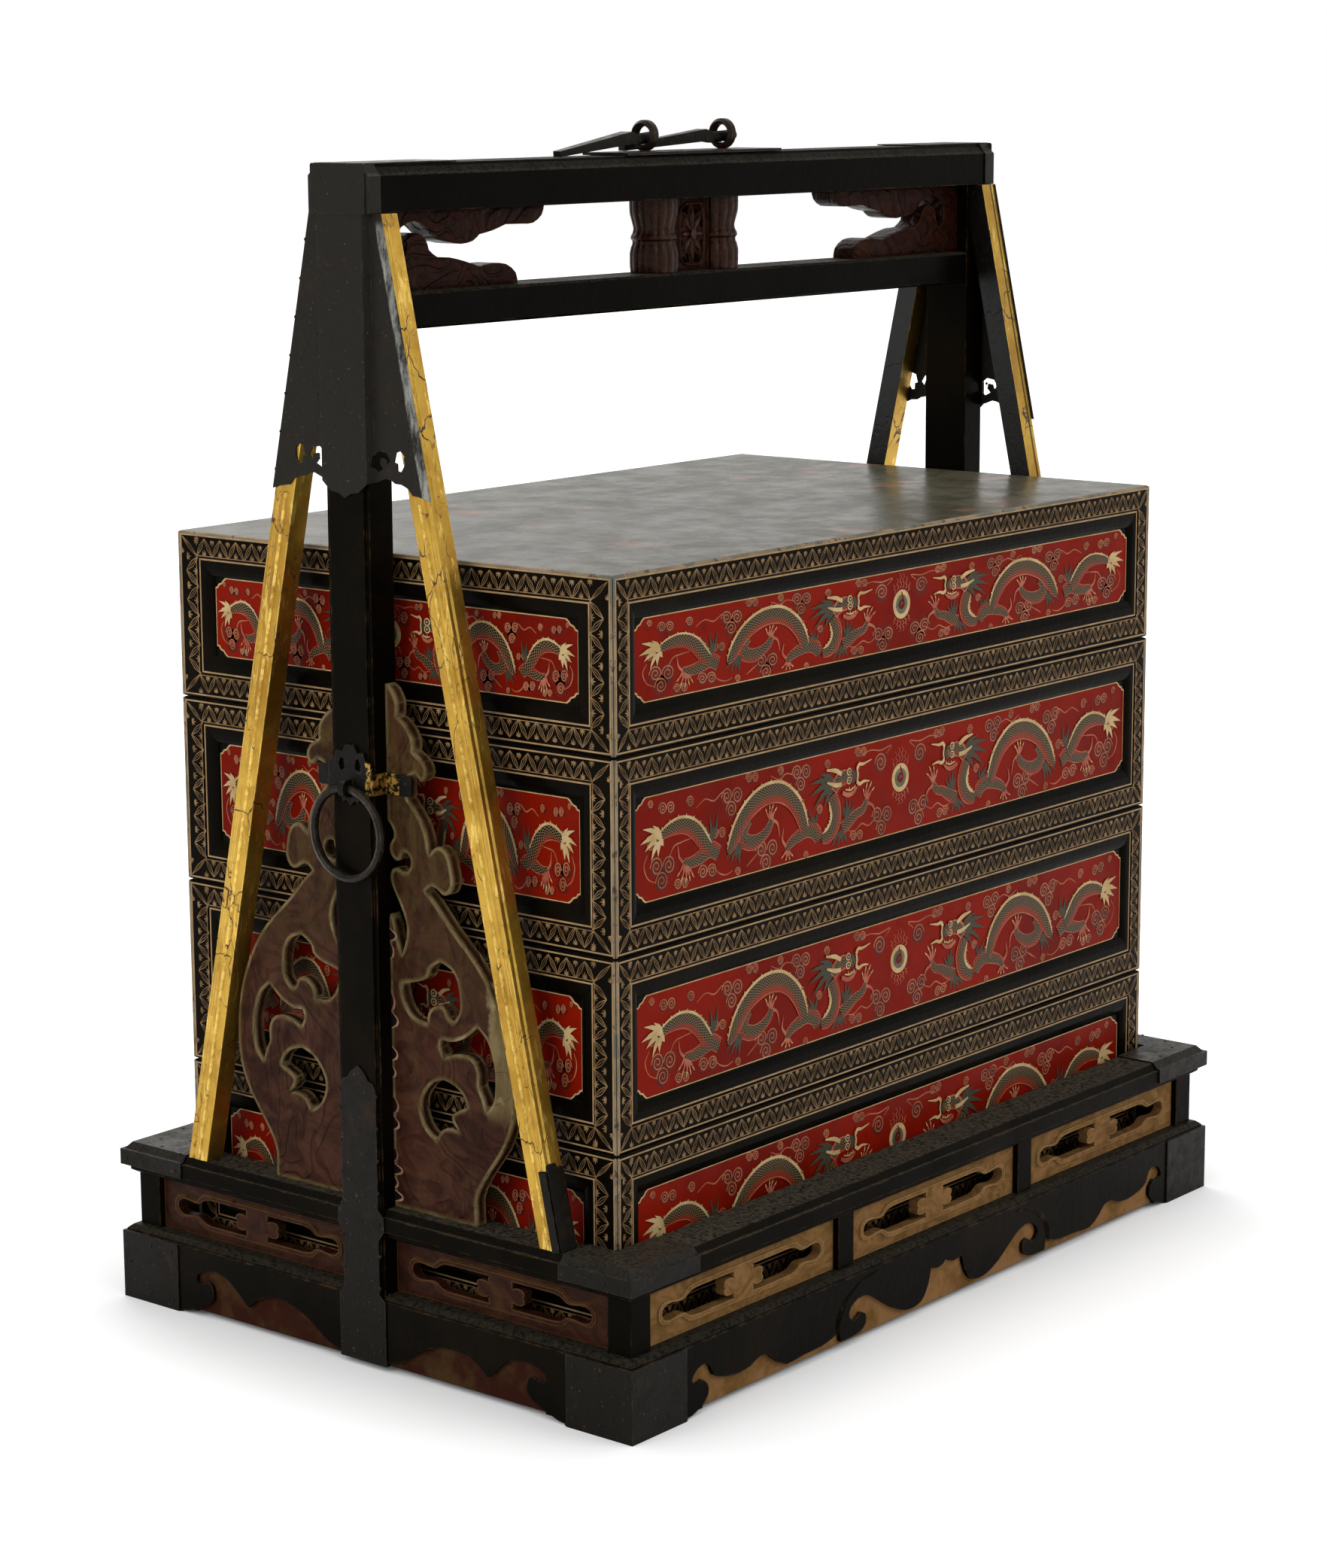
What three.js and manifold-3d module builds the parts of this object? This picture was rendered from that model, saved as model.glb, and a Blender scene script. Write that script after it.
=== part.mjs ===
// Lacquered marriage chest: nested boxes in a footed tray, under a carrying frame of two posts and a beam.
// Millimetres, +Z up, X along the long side. The origin is on the floor, at the middle of the plinth.
import * as THREE from "three";
import { mergeVertices } from "three/addons/utils/BufferGeometryUtils.js";
import Module from "manifold-3d";

const wasm = await Module();
wasm.setup();

// Fits
const clearance = 0.3; // gap between two pieces that touch
const overrun = 20; // how far a cutter passes what it cuts
const weld = 0.001; // points closer than this are one point
const ironThickness = 1.2; // sheet iron of every mount

// Boxes: three tiers and a deep lid, each standing on the lip of the one below
const boxLength = 808;
const boxDepth = 500;
const tierHeight = 166.5;
const lidHeight = 148;
const boxWall = 14;
const boxFloor = 10;
const lidTopThickness = 13;
const boxEdge = 2.5; // rounding of every outer edge
const lipHeight = 6;
const lipInset = 7; // from a box's outer face to its lip
const lipWidth = 5;
const lipHeadroom = 1; // above the lip, under the next box's floor

// Sunk panels of the boxes: a border, a low step with a flat beyond it, and a cove down to the panel
const faceBorder = 22; // above and below
const faceBorderLong = 19; // at the ends of the long faces
const faceBorderShort = 24; // at the ends of the short faces
const faceStep = 0.8;
const faceFlat = 4.6;
const faceDepth = 5;
const coveRise = 12.5; // the cove's width above and below
const coveLong = 8;
const coveShort = 12;
const coveShares = [[0, 0], [0.383, 0.076], [0.707, 0.293], [0.924, 0.617], [1, 1]];
const tierNames = ["tier_bottom", "tier_middle", "tier_upper"];

// Tray in plan: room round the boxes, then the members of the plinth and rail
const boxPlayX = 6;
const boxPlayY = 4;
const memberWidthX = 38.5;
const memberWidthY = 47;
const innerX = boxLength / 2 + boxPlayX;
const innerY = boxDepth / 2 + boxPlayY;
const woodX = innerX + memberWidthX;
const woodY = innerY + memberWidthY;

// Plinth: aprons with a moulded ledge, a carved cloud relief and a grooved-in floor
const fasciaHeight = 63;
const ledgeRise = 5.7;
const ledgeStep = 1.5;
const ledgeInset = 6;
const apronThickness = 26;
const ledgeDepth = 28.7;
const floorDrop = 11.2; // from the ledge down to the top of the floor
const floorThickness = 10;
const grooveDepth = 5;
const footLength = 72.5;
const footRaise = 5; // the apron's lower edge between the corner feet
const footCurveLength = 14;
const reliefDepth = 4;
const plinthHeight = fasciaHeight + ledgeRise;
const floorTop = plinthHeight - floorDrop;
const plinthIronLeg = 70;

// Cloud outline of one half of an apron, as shares of its run and of the fascia's height
const crownShares = [
  [[0, 0.683], [0.016, 0.61], [0.035, 0.587]],
  [[0.035, 0.587], [0.05, 0.6], [0.066, 0.627]],
  [[0.066, 0.627], [0.072, 0.476], [0.085, 0.317], [0.106, 0.19], [0.136, 0.151]],
];
const longCloudShares = [
  ...crownShares,
  [[0.136, 0.151], [0.17, 0.165], [0.223, 0.286], [0.277, 0.492], [0.322, 0.635], [0.362, 0.651],
    [0.391, 0.556], [0.396, 0.429], [0.375, 0.349], [0.351, 0.429]],
  [[0.351, 0.429], [0.332, 0.381], [0.332, 0.238], [0.356, 0.151], [0.399, 0.127]],
  [[0.399, 0.127], [0.43, 0.127]],
  [[0.43, 0.127], [0.436, 0.302]],
  [[0.436, 0.302], [0.463, 0.238], [0.505, 0.19], [0.574, 0.185], [0.638, 0.159], [0.684, 0.302],
    [0.707, 0.413], [0.739, 0.444], [0.774, 0.365]],
  [[0.774, 0.365], [0.822, 0.341], [0.878, 0.397], [0.907, 0.476], [0.918, 0.603], [0.936, 0.683],
    [0.965, 0.651], [0.984, 0.524], [0.968, 0.444], [0.947, 0.476]],
  [[0.947, 0.476], [0.928, 0.381], [0.926, 0.238], [0.947, 0.111]],
];
const shortCloudShares = [
  [[0, 0.127], [0.085, 0.206], [0.149, 0.333], [0.219, 0.476], [0.303, 0.571], [0.383, 0.603],
    [0.463, 0.571], [0.527, 0.476], [0.572, 0.349]],
  [[0.572, 0.349], [0.607, 0.429], [0.662, 0.587], [0.716, 0.698], [0.791, 0.73], [0.866, 0.683],
    [0.9, 0.587], [0.886, 0.492], [0.851, 0.524]],
  [[0.851, 0.524], [0.816, 0.54], [0.796, 0.444], [0.796, 0.317], [0.831, 0.206], [0.896, 0.111]],
];

// Openwork band between plinth and rail
const bandHeight = 49.3;
const bandPost = 25; // corner posts, square
const bandPostInsetX = 11.5;
const bandPostInsetY = 10;
const stileWidth = 22;
const panelSetback = 6; // behind the posts' faces
const panelThickness = 8;
const panelLip = 2; // raised rim round the slot
const panelLipWidth = 4.5;
const slotMargin = 20; // from a panel's end to its slot
const slotHeight = 24;
const flowerWidth = 54;
const flowerHeight = 27;
const longPanels = ["left", "middle", "right"];

// One quarter of a slot, from its end to its middle, as shares of half its length and half its height
const slotShares = [
  [[1, 0], [0.995, 0.28], [0.968, 0.5], [0.93, 0.6], [0.88, 0.6], [0.82, 0.52], [0.76, 0.48]],
  [[0.76, 0.48], [0.72, 0.54], [0.692, 0.72], [0.655, 0.9], [0.6, 0.98], [0.54, 1]],
];

// One quarter of its flower, from a side petal's middle up to the top
const flowerShares = [
  [[0.93, 0], [0.99, 0.16], [0.98, 0.38], [0.88, 0.53], [0.7, 0.56], [0.54, 0.5], [0.44, 0.4]],
  [[0.44, 0.4], [0.5, 0.56], [0.5, 0.76], [0.42, 1]],
];

// Rail on top of the band
const railUnderStep = 8; // small moulding under the fascia
const railUnderInset = 5;
const railUnderCut = 4;
const railFascia = 13;
const railStepInset = 3;
const railTopRise = 6;
const railTopInset = 7;
const railIronLegX = 88;
const railIronLegY = 77;
const railBottom = plinthHeight + bandHeight;
const railFasciaBottom = railBottom + railUnderStep;
const railFasciaTop = railFasciaBottom + railFascia;
const railTop = railFasciaTop + railTopRise;

// Carrying frame, as heights above the lid
const liftRoom = 186; // clear height over the lid
const lowerRailHeight = 30.5;
const lowerRailWidth = 48;
const lowerRailEdge = 2;
const carvedHeight = 66.3; // between lower rail and beam
const beamHeight = 39;
const beamWidth = 65;
const beamTopWidth = 49.5;
const beamMouldHeight = 9;
const beamMouldStep = 2.5;
const tenonLength = 14;
const tenonWidth = 24;
const tenonHeight = 16;
const boxesBottom = floorTop + clearance;
const tierPitch = tierHeight + clearance;
const lidTop = boxesBottom + tierNames.length * tierPitch + lidHeight;
const lowerRailBottom = lidTop + liftRoom;
const lowerRailTop = lowerRailBottom + lowerRailHeight;
const beamBottom = lowerRailTop + carvedHeight;
const beamTop = beamBottom + beamHeight;

// Posts
const postWidth = 48;
const postThickness = 30;
const postReedWidth = 4; // stepped reed down each front edge
const postReedDepth = 2.5;
const postTenonThickness = 14;
const postTenonHeight = 18;
const postFront = -woodX;
const postBack = postFront + postThickness;

// Struts, leaning from the beam's end down to the rail
const strutWidth = 22.5;
const strutThickness = 20;
const strutInset = 6.5; // behind the posts' faces
const strutTopReach = 39; // outer edge under the beam, from the middle
const strutIronGap = 4; // between a strut's foot and the rail's corner iron
const strutFootReach = woodY - railIronLegY - strutIronGap; // outer edge on the rail
const strutGroove = 1.5;
const strutGroovePlace = 5.5; // from the outer front corner
const strutFront = postFront + strutInset;

// Wings, sawn boards beside the posts
const wingHeight = 455;
const wingWidestShare = 0.275; // height of the outline's widest place
const wingStrutGap = 8.3; // between the wing there and the strut
const wingSide = postWidth / 2 + clearance;
const wingWidestHeight = railTop + clearance + wingWidestShare * wingHeight;
const wingReach = strutEdge(wingWidestHeight) - strutWidth - wingStrutGap - wingSide;
const wingThickness = 12;
const wingInset = 16.5;
const wingFront = postFront + wingInset;

// A wing's outline from the foot of its outer edge, as shares of its reach and height
const wingOuterShares = [
  [[0.686, 0], [0.68, 0.045]],
  [[0.68, 0.045], [0.705, 0.071], [0.8, 0.114], [0.9, 0.155], [0.965, 0.195], [0.995, 0.235],
    [1, 0.275], [0.985, 0.33], [0.94, 0.385], [0.87, 0.433], [0.775, 0.48], [0.655, 0.52],
    [0.51, 0.56], [0.387, 0.6], [0.305, 0.622]],
  [[0.305, 0.622], [0.345, 0.633], [0.401, 0.63], [0.445, 0.621], [0.495, 0.624], [0.53, 0.644],
    [0.517, 0.67], [0.49, 0.697], [0.43, 0.71], [0.375, 0.704], [0.336, 0.688]],
  [[0.336, 0.688], [0.328, 0.714], [0.292, 0.745], [0.226, 0.771], [0.168, 0.791]],
  [[0.168, 0.791], [0.175, 0.833]],
  [[0.175, 0.833], [0.241, 0.84]],
  [[0.241, 0.84], [0.285, 0.826], [0.328, 0.842], [0.299, 0.864], [0.219, 0.879]],
  [[0.219, 0.879], [0.219, 0.903], [0.153, 0.93], [0.088, 0.941]],
  [[0.088, 0.941], [0.095, 0.967], [0.051, 0.991], [0, 1]],
];
const wingInnerShares = [
  [[0, 1], [0, 0.745]],
  [[0, 0.745], [0.044, 0.73], [0.051, 0.714], [0.015, 0.699], [0.022, 0.681], [0.066, 0.67],
    [0.102, 0.675], [0.109, 0.688]],
  [[0.109, 0.688], [0.161, 0.688], [0.19, 0.673], [0.168, 0.655], [0.109, 0.651]],
  [[0.109, 0.651], [0.066, 0.657], [0.029, 0.651], [0.015, 0.635], [0.044, 0.613], [0.095, 0.587],
    [0.139, 0.556], [0.139, 0.525], [0.095, 0.49]],
  [[0.095, 0.49], [0.066, 0.516], [0.036, 0.547], [0.007, 0.567]],
  [[0.007, 0.567], [0, 0.56]],
  [[0, 0.56], [0, 0]],
];
const wingScrollShares = [
  [
    [[0.416, 0.493], [0.503, 0.483], [0.555, 0.462], [0.575, 0.425], [0.563, 0.401], [0.511, 0.383]],
    [[0.511, 0.383], [0.47, 0.389], [0.455, 0.403], [0.414, 0.41], [0.349, 0.404], [0.309, 0.39],
      [0.302, 0.371]],
    [[0.302, 0.371], [0.203, 0.374], [0.131, 0.391], [0.093, 0.417], [0.085, 0.437]],
    [[0.085, 0.437], [0.169, 0.443], [0.256, 0.45], [0.315, 0.462], [0.331, 0.478], [0.416, 0.493]],
  ],
  [
    [[0.708, 0.383], [0.643, 0.366], [0.578, 0.353], [0.492, 0.345], [0.415, 0.346]],
    [[0.415, 0.346], [0.403, 0.33], [0.433, 0.312]],
    [[0.433, 0.312], [0.517, 0.322], [0.62, 0.325], [0.691, 0.315], [0.72, 0.293], [0.718, 0.269],
      [0.753, 0.25], [0.777, 0.226]],
    [[0.777, 0.226], [0.832, 0.245], [0.851, 0.276], [0.848, 0.308], [0.825, 0.337], [0.786, 0.364],
      [0.708, 0.383]],
  ],
  [
    [[0.43, 0.269], [0.52, 0.262], [0.591, 0.246], [0.618, 0.226]],
    [[0.618, 0.226], [0.555, 0.217], [0.498, 0.207], [0.497, 0.193], [0.532, 0.181], [0.575, 0.169]],
    [[0.575, 0.169], [0.514, 0.178], [0.449, 0.177], [0.395, 0.168], [0.363, 0.15]],
    [[0.363, 0.15], [0.286, 0.165], [0.24, 0.187], [0.229, 0.213], [0.265, 0.237], [0.338, 0.259],
      [0.43, 0.269]],
  ],
];

// Sheet iron on the posts: the sheath over post, struts and beam end, and the strip at the foot
const sheathLength = 233;
const sheathOverhang = 1.5;
const sheathBend = 4; // width of the crease beside the post
const sheathScallop = 18; // depth of the scalloped lower edge
const sheathTopFlap = 115;
const sheathSideLip = 13;
const scallopShares = [
  [0, 0], [0.08, 0.22], [0.17, 0.28], [0.23, 0.5], [0.28, 0.72], [0.36, 0.83], [0.45, 1], [0.52, 0.94],
  [0.57, 0.8], [0.65, 0.78], [0.73, 0.61], [0.78, 0.33], [0.87, 0.28], [1, 0.1],
];
const sheathHoleHeight = 20;
const sheathHoleLift = 4; // above the scalloped edge's highest point
const sheathHoleReach = 38; // width of the pierced pair, beside the post
const sheathHoleShares = [
  [
    [[0.05, 0.25], [0.07, 0.65], [0.25, 0.92], [0.48, 0.85], [0.58, 0.55]],
    [[0.58, 0.55], [0.49, 0.35]],
    [[0.49, 0.35], [0.44, 0.6], [0.3, 0.64], [0.27, 0.4], [0.37, 0.2]],
    [[0.37, 0.2], [0.2, 0.04], [0.05, 0.25]],
  ],
  [
    [[0.7, 0.5], [0.76, 0.9], [0.88, 0.98], [1, 0.8], [1, 0.4], [0.9, 0.12], [0.8, 0.15], [0.79, 0.45]],
    [[0.79, 0.45], [0.7, 0.5]],
  ],
];
const footIronHeight = 265;
const footIronWidth = 41.5;
const footFlangeWidth = 54;
const footIronPoint = 20; // height of the scalloped tip
const footIronTipShares = [[1, 0], [0.86, 0.3], [0.58, 0.4], [0.38, 0.7], [0, 1]];

// Ring handle and its mount
const ringDiameter = 85;
const ringBar = 7.5;
const ringStandoff = 7.2; // from the post's face to the middle of the bar
const ringHeightShare = 0.8066; // of the bar's pivot above the rail, by the wing's height
const ringHeight = ringHeightShare * wingHeight;
const ringPlay = 0.8;
const stapleWall = 3.2;
const stapleWidth = 6;
const strapHeight = 18;
const strapThickness = 1.5;
const strapReach = 54;
const strapDrop = 5; // from the pivot down to the strap's lower edge
const backplateThickness = 2.4;
const backplateWidth = 50;
const backplateHeight = 52;
const backplateDrop = 16;
const backplateShares = [
  [[0, 0], [0.2, 0.1], [0.35, 0.06], [0.45, 0.2]],
  [[0.45, 0.2], [0.75, 0.25], [0.8, 0.42]],
  [[0.8, 0.42], [1, 0.5], [0.96, 0.72], [0.72, 0.74]],
  [[0.72, 0.74], [0.62, 0.9], [0.34, 0.88]],
  [[0.34, 0.88], [0.2, 1], [0, 1]],
];
const backplateHoleShares = [[0.24, 0.62], [0.42, 0.56], [0.52, 0.68], [0.4, 0.8], [0.26, 0.76]];

// Carved pieces between lower rail and beam
const spandrelLength = 210;
const spandrelThickness = 24;
const spandrelShares = [
  [[0, 0], [0, 1]],
  [[0, 1], [1, 1]],
  [[1, 1], [0.985, 0.87], [0.93, 0.77], [0.86, 0.765], [0.76, 0.77]],
  [[0.76, 0.77], [0.68, 0.7], [0.6, 0.66]],
  [[0.6, 0.66], [0.56, 0.58], [0.49, 0.55], [0.43, 0.58]],
  [[0.43, 0.58], [0.36, 0.62], [0.29, 0.78], [0.22, 0.87], [0.14, 0.8], [0.11, 0.62], [0.12, 0.44],
    [0.15, 0.37]],
  [[0.15, 0.37], [0.175, 0.5], [0.18, 0.62], [0.23, 0.72], [0.28, 0.64], [0.3, 0.5]],
  [[0.3, 0.5], [0.35, 0.4], [0.42, 0.39], [0.51, 0.33], [0.6, 0.25]],
  [[0.6, 0.25], [0.68, 0.28], [0.76, 0.26], [0.82, 0.14], [0.83, 0]],
  [[0.83, 0], [0, 0]],
];
const blockWidth = 132;
const blockDepth = 40;
const sheafWidth = 44;
const sheafSides = 16;
const sheafShares = [
  [0, 0], [0.97, 0], [1, 0.1], [1, 0.26], [0.93, 0.35], [0.84, 0.41], [1, 0.47], [0.84, 0.55], [0.82, 0.6],
  [0.9, 0.7], [0.98, 0.79], [1, 0.88], [1, 1], [0, 1],
];
const frettThickness = 16; // pierced board between the sheaves
const windowWidth = 36;
const windowHeight = 52;
const petals = 8;
const petalShare = 0.2;
const petalReach = 21;

// Irons on the beam's top: a plate, two eye bolts and a tongue in each
const plateLength = 222;
const plateWidth = 53;
const plateThickness = 2.5;
const eyeSpacing = 112;
const eyeRadius = 13.7;
const eyeBand = 12; // width along the beam
const eyeThickness = 5.2;
const shankRadius = 4.5;
const shankLength = 24;
const roundSides = 16;
const tongueLength = 120;
const tongueWidth = 14;
const tongueTipWidth = 9;
const tongueThickness = 11;
const tongueYaw = 10.5; // degrees, by which the second tongue's tip passes behind the first eye
const tongueTipThickness = 5;
const tongueShoulder = 24;
const tongueCrank = 3; // by which the blade's root stands over the neck
const tongueNeckEnd = 14;
const neckRadius = 5;
const neckRise = 8.8; // over the middle of the eye's lower band, on which the tongue rocks
const knobRadius = 5;
const knobPlace = 12;

// Finishes
const finish = (color, roughness, metalness) =>
  new THREE.MeshStandardMaterial({ color, roughness, metalness });
const blackLacquer = finish("#15130f", 0.35, 0);
const boxLacquer = finish("#5a1712", 0.3, 0);
const ochrePanel = finish("#9c7a55", 0.6, 0);
const brownPanel = finish("#4a2c28", 0.5, 0);
const wingPaint = finish("#5f413c", 0.6, 0);
const carvedRed = finish("#3c1e1b", 0.45, 0);
const gilt = finish("#c9a035", 0.35, 0.6);
const iron = finish("#2a2926", 0.55, 0.8);

// Solids from three.js geometry, and meshes from solids
function solidFrom(geometry) {
  const bare = new THREE.BufferGeometry();
  bare.setAttribute("position", geometry.getAttribute("position"));
  bare.setIndex(geometry.index);
  const merged = mergeVertices(bare, weld);
  const corners = [...merged.index.array];
  const triVerts = [];
  for (let i = 0; i < corners.length; i += 3) {
    const [a, b, c] = corners.slice(i, i + 3);
    if (a !== b && b !== c && c !== a) triVerts.push(a, b, c);
  }
  return new wasm.Manifold(new wasm.Mesh({
    numProp: 3,
    vertProperties: merged.getAttribute("position").array,
    triVerts: new Uint32Array(triVerts),
  }));
}

function addMesh(parent, name, solid, material) {
  const data = solid.getMesh();
  const geometry = new THREE.BufferGeometry();
  geometry.setAttribute("position", new THREE.BufferAttribute(data.vertProperties, 3));
  geometry.setIndex(new THREE.BufferAttribute(data.triVerts, 1));
  geometry.computeVertexNormals();
  const mesh = new THREE.Mesh(geometry, material);
  mesh.name = name;
  parent.add(mesh);
  return mesh;
}

// A box between two corners
function block(low, high) {
  const size = high.map((end, i) => end - low[i]);
  const geometry = new THREE.BoxGeometry(...size);
  geometry.translate(...low.map((start, i) => start + size[i] / 2));
  return solidFrom(geometry);
}

// An outline extruded along one axis, from one place to another. Along X its points are (y, z), along Y
// they are (x, z) and along Z they are (x, y).
function prism(axis, points, from, to) {
  const settings = { depth: to - from, bevelEnabled: false };
  const geometry = new THREE.ExtrudeGeometry(new THREE.Shape(points), settings);
  if (axis === "x") {
    const turn = new THREE.Matrix4().makeBasis(
      new THREE.Vector3(0, 1, 0), new THREE.Vector3(0, 0, 1), new THREE.Vector3(1, 0, 0));
    geometry.applyMatrix4(turn).translate(from, 0, 0);
  } else if (axis === "y") {
    geometry.rotateX(Math.PI / 2).translate(0, to, 0);
  } else {
    geometry.translate(0, 0, from);
  }
  return solidFrom(geometry);
}

const point = (x, y) => new THREE.Vector2(x, y);

// Smooth curves through stretches of share points, which meet at cusps. place turns a share into a point.
function trace(stretches, place, steps) {
  const points = [];
  for (const stretch of stretches) {
    const knots = stretch.map(([u, v]) => place(u, v));
    const spans = knots.length - 1;
    const run = spans > 1 ? new THREE.SplineCurve(knots).getPoints(spans * steps) : knots;
    points.push(...run.slice(points.length ? 1 : 0));
  }
  return points;
}

// A closed outline from half of one: the same points again on the other side of the upright axis
function mirrored(half) {
  const other = half.filter((p) => Math.abs(p.x) > weld).map((p) => point(-p.x, p.y));
  return [...half, ...other.reverse()];
}

// A rectangular frame: each point of its section is a rectangle's half length, half depth and height
const atOuter = (inset, z) => [woodX - inset, woodY - inset, z];
const atInner = (inset, z) => [innerX + inset, innerY + inset, z];

function frameRing(section) {
  const places = section.flatMap(([x, y, z]) => [-x, -y, z, x, -y, z, x, y, z, -x, y, z]);
  const index = [];
  section.forEach((_, i) => {
    const next = (i + 1) % section.length;
    for (let side = 0; side < 4; side += 1) {
      const turn = (side + 1) % 4;
      index.push(4 * i + side, 4 * i + turn, 4 * next + turn);
      index.push(4 * i + side, 4 * next + turn, 4 * next + side);
    }
  });
  const geometry = new THREE.BufferGeometry();
  geometry.setAttribute("position", new THREE.Float32BufferAttribute(places, 3));
  geometry.setIndex(index);
  return solidFrom(geometry);
}

// The front member of a frame runs the full length, and the left one lies between front and back
function frontMember(ring, height) {
  const cut = innerY + clearance / 2;
  const keep = block([-woodX - overrun, -woodY - overrun, -overrun], [woodX + overrun, -cut, height]);
  return ring.intersect(keep);
}

function leftMember(ring, height) {
  const cut = innerY - clearance / 2;
  return ring.intersect(block([-woodX - overrun, -cut, -overrun], [0, cut, height]));
}

// Cutter for the place that the tall post takes out of the left apron and rail
function postNotch(bottom, top) {
  const half = postWidth / 2 + clearance;
  return block([-woodX - overrun, -half, bottom], [postBack + clearance, half, top]);
}

// Plinth

const apronRing = frameRing([
  atOuter(0, 0),
  atOuter(0, fasciaHeight),
  atOuter(ledgeStep, fasciaHeight),
  atOuter(ledgeStep, fasciaHeight + ledgeRise / 3),
  atOuter(ledgeInset, plinthHeight),
  atInner(0, plinthHeight),
  atInner(0, floorTop + clearance),
  atInner(grooveDepth, floorTop + clearance),
  atInner(grooveDepth, floorTop - floorThickness - clearance),
  atInner(0, floorTop - floorThickness - clearance),
  atInner(0, plinthHeight - ledgeDepth),
  atOuter(apronThickness, plinthHeight - ledgeDepth),
  atOuter(apronThickness, 0),
]);

// Raised lower edge between the corner feet, with a small curve at each end
function footCut(run) {
  const half = [
    point(0, footRaise), point(run - footCurveLength, footRaise),
    point(run - footCurveLength / 2, footRaise / 2), point(run, footRaise / 3), point(run, -overrun),
    point(0, -overrun),
  ];
  return mirrored(half);
}

// Recessed ground under the black cloud outline
function cloudGround(stretches, from, run) {
  const place = (u, v) => point(from + u * (run - from), v * fasciaHeight);
  const edge = trace(stretches, place, 2);
  return [...edge, point(edge.at(-1).x, -overrun), point(from, -overrun)];
}

function longApron() {
  const run = woodX - footLength;
  const outer = -woodY - overrun;
  const ground = mirrored(cloudGround(longCloudShares, 0, run));
  return frontMember(apronRing, plinthHeight)
    .subtract(prism("y", footCut(run), outer, -innerY))
    .subtract(prism("y", ground, outer, -woodY + reliefDepth));
}

function shortApron() {
  const run = woodY - footLength;
  const outer = -woodX - overrun;
  const ground = cloudGround(shortCloudShares, footFlangeWidth / 2, run);
  const otherGround = ground.map((p) => point(-p.x, p.y));
  return leftMember(apronRing, plinthHeight)
    .subtract(prism("x", footCut(run), outer, -innerX))
    .subtract(prism("x", ground, outer, -woodX + reliefDepth))
    .subtract(prism("x", otherGround, outer, -woodX + reliefDepth))
    .subtract(postNotch(-overrun, plinthHeight + overrun));
}

function trayFloor() {
  const halfX = innerX + grooveDepth - clearance;
  const halfY = innerY + grooveDepth - clearance;
  return block([-halfX, -halfY, floorTop - floorThickness], [halfX, halfY, floorTop]);
}

// Rail

const railRing = frameRing([
  atOuter(railUnderInset + railUnderCut, railBottom),
  atOuter(railUnderInset, railBottom + railUnderStep / 3),
  atOuter(railUnderInset, railFasciaBottom),
  atOuter(0, railFasciaBottom),
  atOuter(0, railFasciaTop),
  atOuter(railStepInset, railFasciaTop),
  atOuter(railTopInset, railTop),
  atInner(0, railTop),
  atInner(0, railBottom),
]);

// The front rail is one ladder with the corner posts and the stiles under it
function longRail() {
  const back = -woodY + bandPostInsetY + bandPost;
  let ladder = frontMember(railRing, railTop);
  for (const [left, right] of bandUprights()) {
    const foot = [left, back - bandPost, plinthHeight + clearance];
    ladder = ladder.add(block(foot, [right, back, railBottom + railUnderStep / 2]));
  }
  return ladder;
}

// Left and right edge of each upright under the front rail
function bandUprights() {
  const corner = woodX - bandPostInsetX;
  const bay = (2 * (corner - bandPost) - 2 * stileWidth) / longPanels.length;
  const stile = bay / 2;
  return [
    [-corner, bandPost - corner],
    [-stile - stileWidth, -stile],
    [stile, stile + stileWidth],
    [corner - bandPost, corner],
  ];
}

function shortRail() {
  return leftMember(railRing, railTop).subtract(postNotch(railBottom - overrun, railTop + overrun));
}

// Openwork panels

// A closed outline from one quarter of it, which runs from the side up to the top
function quartered(stretches, halfWidth, halfHeight) {
  const quarter = trace(stretches, (u, v) => point(u * halfWidth, v * halfHeight), 1);
  const half = [...quarter, ...quarter.map((p) => point(-p.x, p.y)).reverse()];
  return [...half, ...half.slice(1, -1).map((p) => point(p.x, -p.y)).reverse()];
}

// A panel between two upright edges, seen from the front, with its back on the plane y = 0
function panel(width) {
  const half = width / 2;
  const low = plinthHeight + clearance;
  const high = railBottom - clearance;
  const lift = (points) => points.map((p) => point(p.x, p.y + (low + high) / 2));
  const slotHalf = half - slotMargin;
  const slot = lift(quartered(slotShares, slotHalf, slotHeight / 2));
  const rim = lift(quartered(slotShares, slotHalf + panelLipWidth, slotHeight / 2 + panelLipWidth));
  const flower = lift(quartered(flowerShares, flowerWidth / 2, flowerHeight / 2));
  const face = -panelThickness;
  return block([-half, face, low], [half, 0, high])
    .add(prism("y", rim, face - panelLip, face + panelLip))
    .subtract(prism("y", slot, face - overrun, overrun))
    .add(prism("y", flower, face - panelLip, 0));
}

// Irons of the tray's corners: a whole ring of sheet, of which each corner keeps its own piece

const ironOuter = clearance + ironThickness;
const plinthIronRing = frameRing([
  atOuter(-ironOuter, 0),
  atOuter(-ironOuter, fasciaHeight),
  atOuter(-clearance, fasciaHeight),
  atOuter(-clearance, 0),
]);
const railIronRing = frameRing([
  atOuter(-ironOuter, railFasciaBottom),
  atOuter(-ironOuter, railFasciaTop + ironOuter),
  atOuter(railStepInset - ironOuter, railFasciaTop + ironOuter),
  atOuter(railTopInset - clearance, railTop + ironOuter),
  atInner(0, railTop + ironOuter),
  atInner(0, railTop + clearance),
  atOuter(railTopInset, railTop + clearance),
  atOuter(railStepInset - clearance, railFasciaTop + clearance),
  atOuter(-clearance, railFasciaTop + clearance),
  atOuter(-clearance, railFasciaBottom),
]);

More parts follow.
